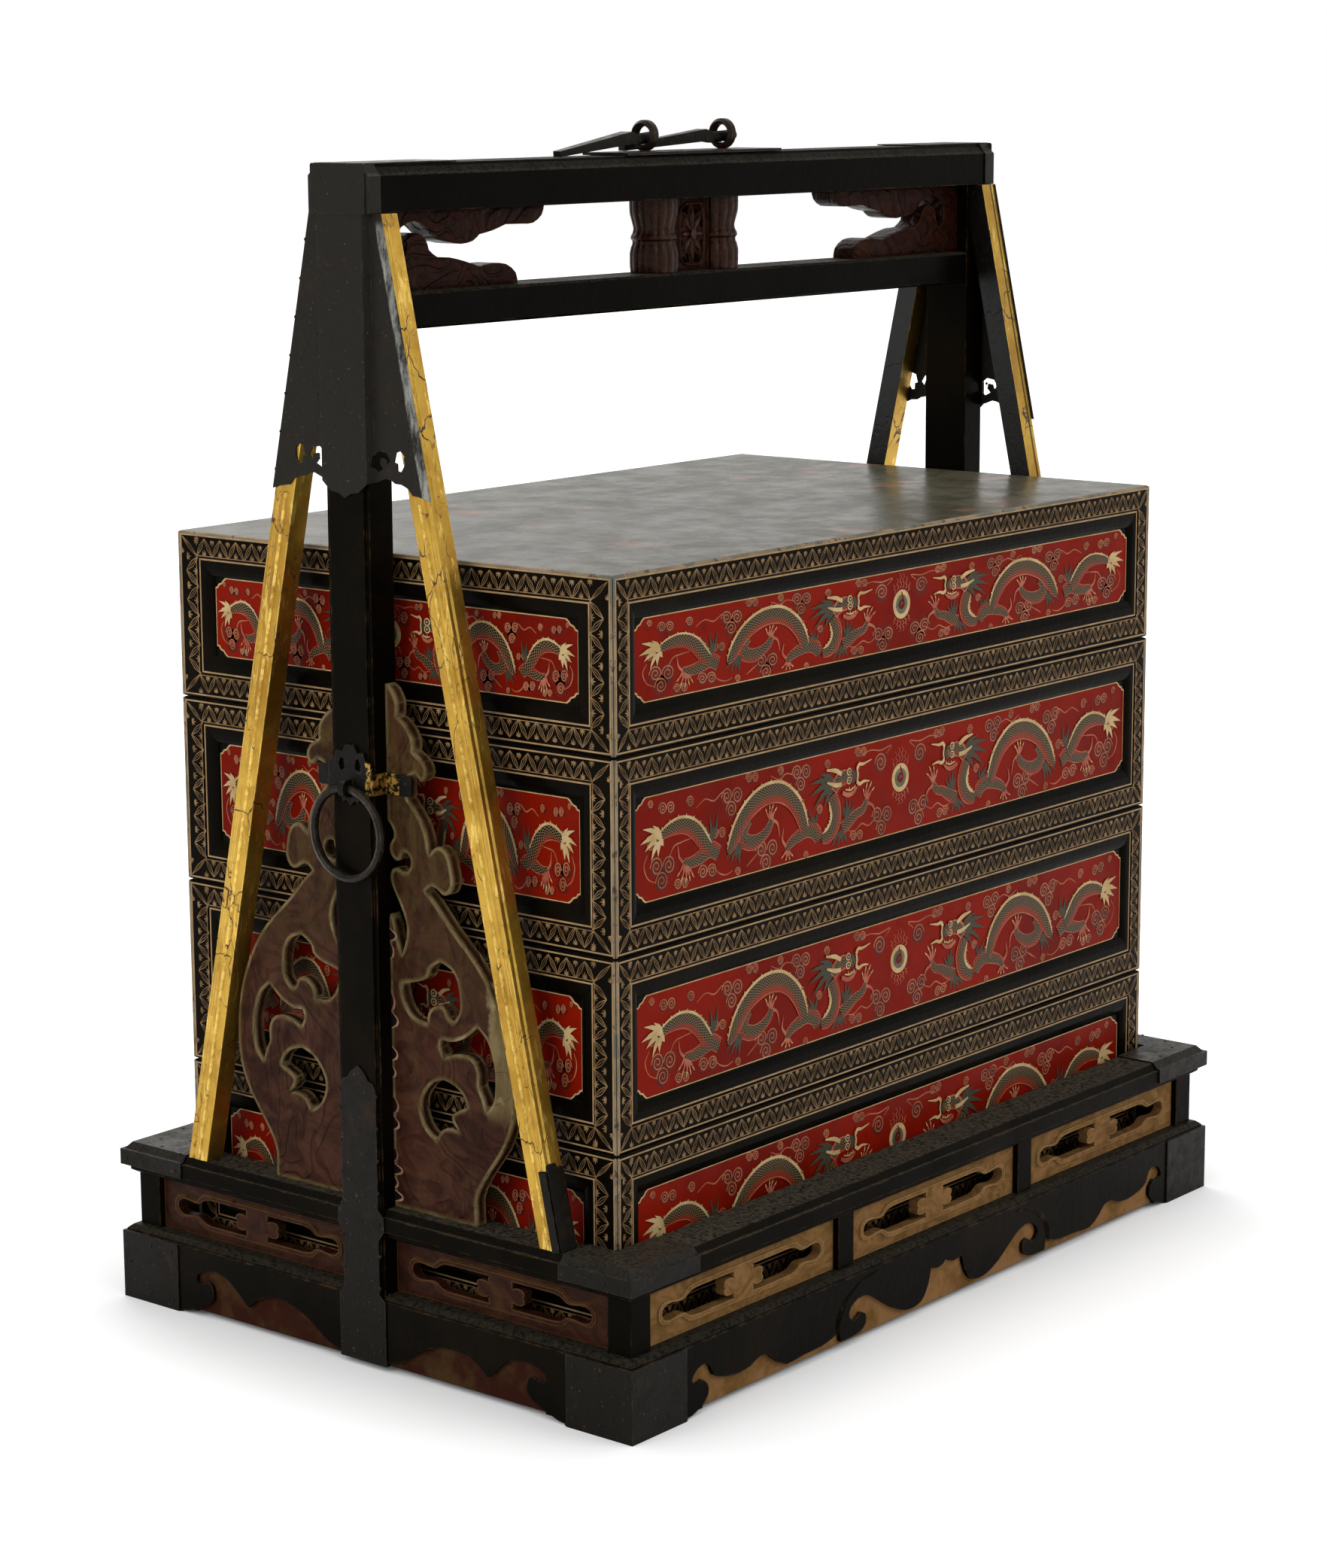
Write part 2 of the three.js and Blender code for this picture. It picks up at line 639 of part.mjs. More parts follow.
function cornerOf(ring, legX, legY) {
  const low = [-woodX - overrun, -woodY - overrun, -overrun];
  return ring.intersect(block(low, [legX - woodX, legY - woodY, railTop + overrun]));
}

// Boxes

// A slab with rounded upright corners and rounded top and bottom edges
function roundedSlab(low, high) {
  const halfX = boxLength / 2 - boxEdge;
  const halfY = boxDepth / 2 - boxEdge;
  const shape = new THREE.Shape([
    point(-halfX, -halfY), point(halfX, -halfY), point(halfX, halfY), point(-halfX, halfY),
  ]);
  const geometry = new THREE.ExtrudeGeometry(shape, {
    depth: high - low - 2 * boxEdge,
    bevelEnabled: true,
    bevelThickness: boxEdge,
    bevelSize: boxEdge,
    bevelSegments: 2,
  });
  geometry.translate(0, 0, low + boxEdge);
  return solidFrom(geometry);
}

// The upright prism that lies a given distance inside the box's outer faces
function insetBlock(inset, low, high) {
  const x = boxLength / 2 - inset;
  const y = boxDepth / 2 - inset;
  return block([-x, -y, low], [x, y, high]);
}

// Hollow of the sunk panel in the face y = -away of a box whose lower edge lies at z = 0
function sunkPanel(length, away, border, cove, height) {
  const rim = (end, rise, depth) => {
    const x = length / 2 - end;
    return [-x, x].flatMap((side) => [rise, height - rise].map((z) => [side, depth - away, z]));
  };
  const rings = coveShares.map(([across, down]) => rim(
    border + faceFlat + across * cove,
    faceBorder + faceFlat + across * coveRise,
    faceStep + down * (faceDepth - faceStep)));
  const mouth = [...rim(border, faceBorder, -overrun), ...rim(border, faceBorder, faceStep)];
  return rings.slice(1).reduce(
    (hollow, ring, i) => hollow.add(wasm.Manifold.hull([...rings[i], ...ring])), wasm.Manifold.hull(mouth));
}

// The sunk panels of all four faces
function sunkPanels(height) {
  const front = sunkPanel(boxLength, boxDepth / 2, faceBorderLong, coveLong, height);
  const side = sunkPanel(boxDepth, boxLength / 2, faceBorderShort, coveShort, height).rotate([0, 0, 90]);
  return front.add(front.rotate([0, 0, 180])).add(side).add(side.rotate([0, 0, 180]));
}

function tier() {
  const recess = lipHeight + lipHeadroom;
  const floorAt = recess + boxFloor;
  const lip = insetBlock(lipInset, tierHeight - boxFloor, tierHeight + lipHeight);
  return roundedSlab(0, tierHeight)
    .add(lip)
    .subtract(insetBlock(lipInset - clearance, -overrun, recess))
    .subtract(insetBlock(boxWall, floorAt, tierHeight))
    .subtract(insetBlock(lipInset + lipWidth, tierHeight - boxFloor, tierHeight + overrun))
    .subtract(sunkPanels(tierHeight));
}

function lidBox() {
  return roundedSlab(0, lidHeight)
    .subtract(insetBlock(lipInset - clearance, -overrun, lipHeight + lipHeadroom))
    .subtract(insetBlock(boxWall, -overrun, lidHeight - lidTopThickness))
    .subtract(sunkPanels(lidHeight));
}

// Carrying frame

function post() {
  const half = postWidth / 2;
  const reed = half - postReedWidth;
  const step = postFront + postReedDepth;
  const section = mirroredAcross([
    point(postFront, reed), point(step, reed), point(step, half), point(postBack, half),
  ]);
  const tenonX = (postFront + postBack - postTenonThickness) / 2;
  const tenon = block(
    [tenonX, -tenonWidth / 2, beamBottom - overrun],
    [tenonX + postTenonThickness, tenonWidth / 2, beamBottom + postTenonHeight]);
  return prism("z", section, footRaise, beamBottom - clearance)
    .add(tenon)
    .subtract(railTenon(clearance));
}

// A closed plan outline from its half with y above zero
function mirroredAcross(half) {
  return [...half, ...half.map((p) => point(p.x, -p.y)).reverse()];
}

// Tenon at the left end of the lower rail, or with a clearance the mortise for it
function railTenon(grow) {
  const middle = (lowerRailBottom + lowerRailTop) / 2;
  const high = tenonHeight / 2 + grow;
  const wide = tenonWidth / 2 + grow;
  const end = postBack - tenonLength - grow;
  return block([end, -wide, middle - high], [postBack + overrun, wide, middle + high]);
}

function lowerRail() {
  const half = lowerRailWidth / 2;
  const flat = half - lowerRailEdge;
  const section = mirrored([
    point(0, lowerRailBottom), point(flat, lowerRailBottom), point(half, lowerRailBottom + lowerRailEdge),
    point(half, lowerRailTop - lowerRailEdge), point(flat, lowerRailTop), point(0, lowerRailTop),
  ]);
  const reach = -postBack - clearance;
  const left = railTenon(0);
  return prism("x", section, -reach, reach).add(left).add(left.rotate([0, 0, 180]));
}

// Half of the beam's section, grown outwards
function beamSection(grow) {
  const half = beamWidth / 2 + grow;
  const top = beamTop + grow;
  const shoulder = beamTop - beamMouldHeight;
  return mirrored([
    point(0, beamBottom), point(half, beamBottom), point(half, shoulder),
    point(half - beamMouldStep, shoulder + beamMouldHeight / 4),
    point(beamTopWidth / 2 + grow + beamMouldStep / 2, top - beamMouldHeight / 4),
    point(beamTopWidth / 2 + grow, top), point(0, top),
  ]);
}

function beam() {
  const tenonX = (postFront + postBack - postTenonThickness) / 2 - clearance;
  const mortise = block(
    [tenonX, -tenonWidth / 2 - clearance, beamBottom - overrun],
    [tenonX + postTenonThickness + 2 * clearance, tenonWidth / 2 + clearance,
      beamBottom + postTenonHeight + clearance]);
  const bore = shank(shankRadius + clearance, beamTop - shankLength - clearance, beamTop + overrun);
  return prism("x", beamSection(0), postFront, -postFront)
    .subtract(mortise)
    .subtract(mortise.rotate([0, 0, 180]))
    .subtract(bore.translate([-eyeSpacing / 2, 0, 0]))
    .subtract(bore.translate([eyeSpacing / 2, 0, 0]));
}

// An upright round bar, or the cutter for its hole
function shank(radius, low, high) {
  const geometry = new THREE.CylinderGeometry(radius, radius, high - low, roundSides);
  return solidFrom(geometry.rotateX(Math.PI / 2).translate(0, 0, (low + high) / 2));
}

// Outer edge of a strut at a height
function strutEdge(z) {
  const share = (z - railTop) / (beamBottom - railTop);
  return strutFootReach + share * (strutTopReach - strutFootReach);
}

// The back strut of the left end: an upright bar sheared to its lean, with a bead between two grooves
function strut() {
  const outer = strutWidth;
  const back = strutFront + strutThickness;
  const mark = strutGroovePlace;
  const cut = strutGroove;
  const section = [
    point(strutFront, 0), point(strutFront, outer - mark - cut), point(strutFront + cut, outer - mark),
    point(strutFront, outer - mark + cut), point(strutFront, outer), point(strutFront + mark - cut, outer),
    point(strutFront + mark, outer - cut), point(strutFront + mark + cut, outer), point(back, outer),
    point(back, 0),
  ];
  const low = railTop + clearance;
  const high = beamBottom - clearance;
  const lean = (strutEdge(high) - strutEdge(low)) / (high - low);
  const settings = { depth: high - low, bevelEnabled: false };
  const geometry = new THREE.ExtrudeGeometry(new THREE.Shape(section), settings);
  const foot = strutEdge(low) - outer;
  const shear = new THREE.Matrix4().set(1, 0, 0, 0, 0, 1, lean, foot, 0, 0, 1, low, 0, 0, 0, 1);
  geometry.applyMatrix4(shear);
  const half = postWidth / 2 + clearance;
  const besidePost = block(
    [postFront - overrun, -half, low - overrun], [postBack + overrun, half, high + overrun]);
  return solidFrom(geometry).subtract(besidePost);
}

// The back wing of the left end
function wing() {
  const place = (u, v) => point(wingSide + u * wingReach, railTop + clearance + v * wingHeight);
  const outline = trace([...wingOuterShares, ...wingInnerShares], place, 2);
  let board = prism("x", outline, wingFront, wingFront + wingThickness);
  for (const scroll of wingScrollShares) {
    const hole = trace(scroll, place, 2).slice(0, -1);
    board = board.subtract(prism("x", hole, wingFront - overrun, wingFront + wingThickness + overrun));
  }
  return board;
}

// Sheet iron over the post, both struts and the beam's end
function sheath() {
  const low = beamBottom - sheathLength;
  const widest = strutEdge(low) + sheathOverhang;
  const scallop = scallopShares.map(([u, v]) => point(u * widest, low + v * sheathScallop));
  const topReach = strutEdge(beamBottom) + sheathOverhang;
  const outline = mirrored([...scallop, point(topReach, beamBottom), point(0, beamBottom)]);
  const postEdge = postWidth / 2 + clearance;
  const strutSkin = strutFront - clearance;
  const postSkin = postFront - clearance;
  const outerBend = postEdge + sheathBend + ironThickness / 2;
  const fold = mirroredAcross([
    point(postSkin - ironThickness, postEdge + ironThickness), point(strutSkin - ironThickness, outerBend),
    point(strutSkin - ironThickness, widest + overrun), point(strutSkin, widest + overrun),
    point(strutSkin, postEdge + sheathBend), point(postSkin, postEdge),
  ]);
  let plate = prism("z", fold, low - overrun, beamBottom)
    .intersect(prism("x", outline, postFront - overrun, strutFront + overrun));
  for (const hole of sheathHoleShares) {
    plate = plate.subtract(sheathHole(hole, low, 1)).subtract(sheathHole(hole, low, -1));
  }
  return plate.add(beamCap());
}

function sheathHole(shares, low, side) {
  const bottom = low + sheathScallop + sheathHoleLift;
  const start = postWidth / 2 + clearance;
  const place = (u, v) => point(side * (start + u * sheathHoleReach), bottom + v * sheathHoleHeight);
  return prism("x", trace(shares, place, 1).slice(0, -1), postFront - overrun, strutFront + overrun);
}

// The sheath's upper part, folded round the beam's end and forward over its top
function beamCap() {
  const skin = postFront - clearance;
  const whole = prism("x", beamSection(clearance + ironThickness), skin - ironThickness, postFront + sheathTopFlap);
  const inside = prism("x", beamSection(clearance), skin, postFront + sheathTopFlap + overrun);
  const topWidth = beamTopWidth / 2 + clearance;
  const keepEnd = block(
    [skin - overrun, -beamWidth, beamBottom], [postFront + sheathSideLip, beamWidth, beamTop + overrun]);
  const keepTop = block(
    [skin - overrun, -topWidth, beamTop + clearance / 2],
    [postFront + sheathTopFlap, topWidth, beamTop + overrun]);
  return whole.subtract(inside).intersect(keepEnd.add(keepTop));
}

// Iron strip up the foot of the post, with flanges over plinth and rail
function footIron() {
  const half = footIronWidth / 2;
  const flange = footFlangeWidth / 2;
  const shoulder = footRaise + footIronHeight - footIronPoint;
  const tip = footIronTipShares.map(([u, v]) => point(u * half, shoulder + v * footIronPoint));
  const outline = mirrored([
    point(0, footRaise), point(flange, footRaise), point(flange, fasciaHeight), point(half, plinthHeight),
    point(half, railBottom), point(flange, railFasciaBottom), point(flange, railFasciaTop),
    point(half, railTop), ...tip,
  ]);
  const skin = postFront - clearance;
  return prism("x", outline, skin - ironThickness, skin);
}

// Ring handles

const pivotX = postFront - clearance - ringStandoff;
const pivotZ = railTop + ringHeight;

function ringHandle() {
  const bar = ringBar / 2;
  const radius = ringDiameter / 2 - bar;
  const geometry = new THREE.TorusGeometry(radius, bar, 8, 28);
  geometry.rotateY(Math.PI / 2).translate(0, 0, -radius);
  return solidFrom(geometry);
}

// Strap round post and wings, scalloped backplate, and the staple that holds the ring
function handleMount() {
  const skin = postFront - clearance;
  const side = postWidth / 2 + clearance;
  const wingSkin = wingFront - clearance;
  const strap = mirroredAcross([
    point(skin - strapThickness, side + strapThickness),
    point(wingSkin - strapThickness, side + strapThickness),
    point(wingSkin - strapThickness, strapReach), point(wingSkin, strapReach),
    point(wingSkin, side), point(skin, side),
  ]);
  const low = pivotZ - strapDrop;
  const place = (u, v) => point((u * backplateWidth) / 2, pivotZ - backplateDrop + v * backplateHeight);
  const plate = mirrored(trace(backplateShares, place, 2));
  const hole = backplateHoleShares.map(([u, v]) => place(u, v));
  const otherHole = hole.map((p) => point(-p.x, p.y));
  const platePrism = (points, from, to) => prism("x", points, from, to);
  return prism("z", strap, low, low + strapHeight)
    .add(platePrism(plate, skin - backplateThickness, skin))
    .subtract(platePrism(hole, skin - overrun, postFront))
    .subtract(platePrism(otherHole, skin - overrun, postFront))
    .add(staple());
}

function staple() {
  const inner = ringBar / 2 + ringPlay;
  const outer = inner + stapleWall;
  const eye = new THREE.CylinderGeometry(outer, outer, stapleWidth, roundSides).translate(pivotX, 0, 0);
  const bore = new THREE.CylinderGeometry(inner, inner, stapleWidth + overrun, roundSides).translate(pivotX, 0, 0);
  const skin = postFront - clearance;
  const root = block([pivotX, -stapleWidth / 2, -outer], [skin, stapleWidth / 2, outer]);
  const keep = block([pivotX - overrun, -overrun, -overrun], [skin, overrun, overrun]);
  return solidFrom(eye).add(root).intersect(keep).subtract(solidFrom(bore)).translate([0, 0, pivotZ]);
}

// Carved pieces

function spandrel() {
  const low = lowerRailTop + clearance;
  const high = beamBottom - clearance;
  const start = postBack + clearance;
  const place = (u, v) => point(start + u * spandrelLength, low + v * (high - low));
  const outline = trace(spandrelShares, place, 2).slice(0, -1);
  return prism("y", outline, -spandrelThickness / 2, spandrelThickness / 2);
}

function centreBlock() {
  const low = lowerRailTop + clearance;
  const high = beamBottom - clearance;
  const profile = sheafShares.map(([r, z]) => point((r * sheafWidth) / 2, low + z * (high - low)));
  const lathe = new THREE.LatheGeometry(profile, sheafSides).rotateX(Math.PI / 2);
  lathe.scale(1, -blockDepth / sheafWidth, 1);
  const middle = (low + high) / 2;
  const place = (points) => points.map((p) => point(p.x, p.y + middle));
  const half = blockWidth / 2 - sheafWidth / 2;
  const deep = frettThickness / 2;
  const frame = block([-half, -deep, low], [half, deep, high]);
  const opening = block(
    [-windowWidth / 2, -blockDepth, middle - windowHeight / 2],
    [windowWidth / 2, blockDepth, middle + windowHeight / 2]);
  const bloom = bloomPoints(petalReach, windowHeight / 2 + petalReach / 8);
  const sheaf = solidFrom(lathe.index ? flipped(lathe) : lathe);
  return frame
    .subtract(opening)
    .add(prism("y", place(bloom), -deep, deep))
    .add(sheaf.translate([-half, 0, 0]))
    .add(sheaf.translate([half, 0, 0]));
}

// The outline of a flower that fills the window, its petals meeting in notches
function bloomPoints(halfWidth, halfHeight) {
  const steps = 4 * petals;
  return Array.from({ length: steps }, (_, i) => {
    const angle = (2 * Math.PI * i) / steps;
    const swell = 1 - petalShare + petalShare * Math.cos(petals * angle);
    return point(halfWidth * swell * Math.cos(angle), halfHeight * swell * Math.sin(angle));
  });
}

// The same geometry with its faces turned round
function flipped(geometry) {
  const index = [...geometry.index.array];
  for (let i = 0; i < index.length; i += 3) [index[i + 1], index[i + 2]] = [index[i + 2], index[i + 1]];
  geometry.setIndex(index);
  return geometry;
}

// Irons on the beam

const plateBottom = beamTop + clearance;
const plateTop = plateBottom + plateThickness;
const eyeMiddle = plateTop + clearance + eyeRadius;
const rockZ = eyeMiddle - eyeRadius + eyeThickness / 2;

function topPlate() {
  const bore = shank(shankRadius + clearance, plateBottom - overrun, plateTop + overrun);
  return block([-plateLength / 2, -plateWidth / 2, plateBottom], [plateLength / 2, plateWidth / 2, plateTop])
    .subtract(bore.translate([-eyeSpacing / 2, 0, 0]))
    .subtract(bore.translate([eyeSpacing / 2, 0, 0]));
}

// An eye bolt: a round-backed band whose axis lies along the beam, on a shank through the plate
function eyeBolt() {
  const edge = eyeBand / 2;
  const inner = eyeRadius - eyeThickness;
  const band = new THREE.LatheGeometry([
    point(inner, -edge / 2), point(inner + eyeThickness / 2, -edge), point(eyeRadius, -edge / 2),
    point(eyeRadius, edge / 2), point(inner + eyeThickness / 2, edge), point(inner, edge / 2),
    point(inner, -edge / 2),
  ], 2 * roundSides);
  band.rotateZ(Math.PI / 2).translate(0, 0, eyeMiddle);
  const foot = shank(shankRadius, beamTop - shankLength, rockZ);
  return solidFrom(band).add(foot);
}

// A tongue in its own frame: the origin is the line on which it rocks, and its tip points along -X
function tongue() {
  const tip = -tongueLength;
  const root = neckRise + tongueCrank;
  const side = [
    point(tip, neckRise - tongueTipThickness / 2), point(-tongueShoulder, root - tongueThickness / 2),
    point(-tongueNeckEnd, neckRise - neckRadius), point(-tongueNeckEnd, neckRise + neckRadius),
    point(-tongueShoulder, root + tongueThickness / 2), point(tip, neckRise + tongueTipThickness / 2),
  ];
  const plan = mirroredAcross([
    point(-tongueNeckEnd, neckRadius), point(-tongueShoulder, tongueWidth / 2), point(tip, tongueTipWidth / 2),
  ]);
  const blade = prism("y", side, -tongueWidth, tongueWidth)
    .intersect(prism("z", plan, -overrun, root + overrun));
  const neckLength = tongueNeckEnd + knobPlace + clearance;
  const neck = new THREE.CylinderGeometry(neckRadius, neckRadius, neckLength, roundSides);
  neck.rotateZ(Math.PI / 2).translate(knobPlace - neckLength / 2, 0, neckRise);
  const knob = new THREE.SphereGeometry(knobRadius, roundSides, roundSides / 2);
  return blade.add(solidFrom(neck)).add(solidFrom(knob.translate(knobPlace, 0, neckRise)));
}

// How far a tongue leans so that its tip lies just over a surface
function tongueLean(surface) {
  const rise = neckRise - tongueTipThickness / 2;
  const drop = rockZ - surface - clearance;
  return Math.asin(drop / Math.hypot(tongueLength, rise)) + Math.atan2(rise, tongueLength);
}

// Assembly

const chest = new THREE.Group();

function addTray() {
  const apron = longApron();
  const rail = longRail();
  const uprights = bandUprights();
  const panelBack = -woodY + bandPostInsetY + panelSetback + panelThickness;
  const bays = longPanels.map((_, i) => [uprights[i][1] + clearance, uprights[i + 1][0] - clearance]);
  for (const side of ["front", "back"]) {
    const group = new THREE.Group();
    group.rotation.z = side === "front" ? 0 : Math.PI;
    addMesh(group, "apron_" + side, apron, blackLacquer);
    addMesh(group, "rail_" + side, rail, blackLacquer);
    const names = side === "front" ? longPanels : [...longPanels].reverse();
    bays.forEach(([left, right], i) => {
      const board = addMesh(group, "panel_" + side + "_" + names[i], panel(right - left), ochrePanel);
      board.position.set((left + right) / 2, panelBack, 0);
    });
    chest.add(group);
  }
  addMesh(chest, "tray_floor", trayFloor(), blackLacquer);
}

function addTrayEnds() {
  const apron = shortApron();
  const rail = shortRail();
  const near = postWidth / 2 + clearance;
  const far = woodY - bandPostInsetY - bandPost - clearance;
  const board = panel(far - near);
  const panelBack = -woodX + bandPostInsetX + panelSetback + panelThickness;
  for (const side of ["left", "right"]) {
    const group = new THREE.Group();
    group.rotation.z = side === "left" ? 0 : Math.PI;
    addMesh(group, "apron_" + side, apron, blackLacquer);
    addMesh(group, "rail_" + side, rail, blackLacquer);
    const ends = side === "left" ? ["front", "back"] : ["back", "front"];
    ends.forEach((end, i) => {
      const mesh = addMesh(group, "panel_" + side + "_" + end, board, brownPanel);
      mesh.rotation.z = -Math.PI / 2;
      mesh.position.set(panelBack, ((i === 0 ? -1 : 1) * (near + far)) / 2, 0);
    });
    chest.add(group);
  }
}

function addCornerIrons() {
  const kinds = [
    ["plinth_iron", plinthIronRing, plinthIronLeg, plinthIronLeg],
    ["rail_iron", railIronRing, railIronLegX, railIronLegY],
  ];
  for (const [kind, ring, legX, legY] of kinds) {
    const frontLeft = cornerOf(ring, legX, legY);
    const frontRight = frontLeft.mirror([1, 0, 0]);
    const pair = { front_left: frontLeft, front_right: frontRight };
    const turned = { front_left: "back_right", front_right: "back_left" };
    for (const [corner, solid] of Object.entries(pair)) {
      addMesh(chest, kind + "_" + corner, solid, iron);
      addMesh(chest, kind + "_" + turned[corner], solid, iron).rotation.z = Math.PI;
    }
  }
}

function addEnds() {
  const pieces = [
    ["post", post(), blackLacquer], ["foot_iron", footIron(), iron], ["sheath", sheath(), iron],
    ["handle_mount", handleMount(), iron], ["spandrel", spandrel(), carvedRed],
  ];
  const backStrut = strut();
  const backWing = wing();
  const pairs = [
    ["strut", backStrut.mirror([0, 1, 0]), backStrut, gilt],
    ["wing", backWing.mirror([0, 1, 0]), backWing, wingPaint],
  ];
  for (const side of ["left", "right"]) {
    const group = new THREE.Group();
    group.rotation.z = side === "left" ? 0 : Math.PI;
    for (const [name, solid, material] of pieces) addMesh(group, name + "_" + side, solid, material);
    const ends = side === "left" ? ["front", "back"] : ["back", "front"];
    for (const [name, near, far, material] of pairs) {
      addMesh(group, name + "_" + side + "_" + ends[0], near, material);
      addMesh(group, name + "_" + side + "_" + ends[1], far, material);
    }
    addMesh(group, "ring_handle_" + side, ringHandle(), iron).position.set(pivotX, 0, pivotZ);
    chest.add(group);
  }
}

function addTop() {
  addMesh(chest, "beam", beam(), blackLacquer);
  addMesh(chest, "lower_rail", lowerRail(), blackLacquer);
  addMesh(chest, "centre_block", centreBlock(), carvedRed);
  addMesh(chest, "top_plate", topPlate(), iron);
  for (const [side, sign, surface, yaw] of [["left", -1, beamTop, 0], ["right", 1, plateTop, tongueYaw]]) {
    const place = (sign * eyeSpacing) / 2;
    addMesh(chest, "eye_" + side, eyeBolt(), iron).position.x = place;
    const mesh = addMesh(chest, "tongue_" + side, tongue(), iron);
    mesh.position.set(place, 0, rockZ);
    mesh.rotation.set(0, -tongueLean(surface), THREE.MathUtils.degToRad(-yaw), "ZYX");
  }
}

function addBoxes() {
  const body = tier();
  tierNames.forEach((name, i) => {
    addMesh(chest, name, body, boxLacquer).position.z = boxesBottom + i * tierPitch;
  });
  addMesh(chest, "lid", lidBox(), boxLacquer).position.z = boxesBottom + tierNames.length * tierPitch;
}

addTray();
addTrayEnds();
addCornerIrons();
addEnds();
addTop();
addBoxes();

export default chest;
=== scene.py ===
# %% [markdown]
# # A lacquered marriage chest
# The solid model arrives as a fixed frame of wood, iron and boxes. This lesson dresses it: worn black lacquer,
# gilded struts, forged iron, and four boxes painted with dragons that chase a flaming pearl. Every finish is
# made of shader nodes, and the dragons and bands are real mesh, so the chest holds up from any side.

# %% Load the solid frame
import functools
import itertools
import math
import random

import bmesh
import bpy
import numpy as np
from mathutils import Matrix, Vector


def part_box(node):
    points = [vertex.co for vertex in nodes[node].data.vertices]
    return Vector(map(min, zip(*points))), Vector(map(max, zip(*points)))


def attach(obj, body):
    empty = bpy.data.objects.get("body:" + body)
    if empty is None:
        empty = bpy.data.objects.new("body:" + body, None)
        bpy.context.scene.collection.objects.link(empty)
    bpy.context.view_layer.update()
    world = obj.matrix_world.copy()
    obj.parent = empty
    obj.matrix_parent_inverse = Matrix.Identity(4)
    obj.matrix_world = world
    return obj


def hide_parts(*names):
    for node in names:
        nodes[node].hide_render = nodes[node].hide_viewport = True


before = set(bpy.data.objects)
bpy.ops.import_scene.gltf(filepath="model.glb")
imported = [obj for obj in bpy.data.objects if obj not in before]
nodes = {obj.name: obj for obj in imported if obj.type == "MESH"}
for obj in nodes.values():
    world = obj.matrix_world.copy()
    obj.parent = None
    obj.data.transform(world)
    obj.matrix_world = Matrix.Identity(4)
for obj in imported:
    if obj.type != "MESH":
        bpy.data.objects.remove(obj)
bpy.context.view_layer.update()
MM = 0.001
IN_MM = Matrix.Scale(MM, 4)  # turns what is drawn in millimetres into metres

# %% [markdown]
# ## Camera
# The photograph was taken with a long lens, a little above the lid. Its place was solved from the straight
# edges of the plinth and boxes. The rotation is built from the view direction and a small roll, because a
# tracking constraint couldn't roll the camera.

# %% Camera
CAMERA_PLACE = Vector((-2.61268, -2.10178, 1.10258))
CAMERA_AZIMUTH = math.radians(-50.814)
CAMERA_RISE = math.radians(11.096)
CAMERA_ROLL = math.radians(-0.3016)
FOCAL_PIXELS = 4842.36
IMAGE_WIDTH = 1764
SENSOR = 36.0


def camera_axes(azimuth, rise, roll):
    """The camera's right, up and back directions."""
    back = Vector((math.sin(azimuth) * math.cos(rise), -math.cos(azimuth) * math.cos(rise), math.sin(rise)))
    right = Vector((math.cos(azimuth), math.sin(azimuth), 0))
    up = back.cross(right)
    turned_right = right * math.cos(roll) + up * math.sin(roll)
    turned_up = up * math.cos(roll) - right * math.sin(roll)
    return turned_right, turned_up, back


lens = bpy.data.cameras.new("camera")
lens.sensor_fit = "HORIZONTAL"
lens.sensor_width = SENSOR
lens.lens = SENSOR * FOCAL_PIXELS / IMAGE_WIDTH
camera = bpy.data.objects.new("camera", lens)
axes = Matrix(camera_axes(CAMERA_AZIMUTH, CAMERA_RISE, CAMERA_ROLL)).transposed()
camera.matrix_world = Matrix.Translation(CAMERA_PLACE) @ axes.to_4x4()
bpy.context.scene.collection.objects.link(camera)
bpy.context.scene.camera = camera
print("lens:", round(lens.lens, 2), "mm")

# %% [markdown]
# ## A small kit for shaders
# A finish is a Principled shader with a few noises, masks and ramps in front of it. In this kit, whatever a node
# gives is a Value that takes plain arithmetic, so each recipe stays short. The most useful part is `edges`: the
# Bevel node gives the normal that a rounded edge would have, and where that differs from the real normal, an
# edge is near. Worn lacquer, rubbed iron and painted rims all follow that mask.

# %% Colours and values


def srgb(red, green, blue):
    """A colour as the eye names it, 0 to 255, in the linear values that shaders take."""
    def linear(level):
        level /= 255
        return level / 12.92 if level <= 0.04045 else ((level + 0.055) / 1.055) ** 2.4
    return (linear(red), linear(green), linear(blue), 1.0)


class Value:
    """What a node gives, with plain arithmetic. most is the larger of two, and scaled multiplies and adds."""

    def __init__(self, tree, socket):
        self.tree, self.socket = tree, socket

    def by(operation):
        """A method that does one operation of the Math node."""
        return lambda self, *others: self.tree.math(operation, self, *others)

    __add__, __sub__, __mul__, __abs__ = map(by, ("ADD", "SUBTRACT", "MULTIPLY", "ABSOLUTE"))
    most, scaled, sine, sign, fraction = map(by, ("MAXIMUM", "MULTIPLY_ADD", "SINE", "SIGN", "FRACT"))

    def __rsub__(self, other):
        return self.tree.math("SUBTRACT", other, self)

    def reach(self, low, high):
        """0 where the value is at low, 1 where it is at high, smooth between."""
        return self.tree.give("MapRange", {"Value": self, "From Min": low, "From Max": high},
                              interpolation_type="SMOOTHSTEP")


print("middle grey in linear light:", round(srgb(128, 128, 128)[0], 3))

# %% Node trees and finishes


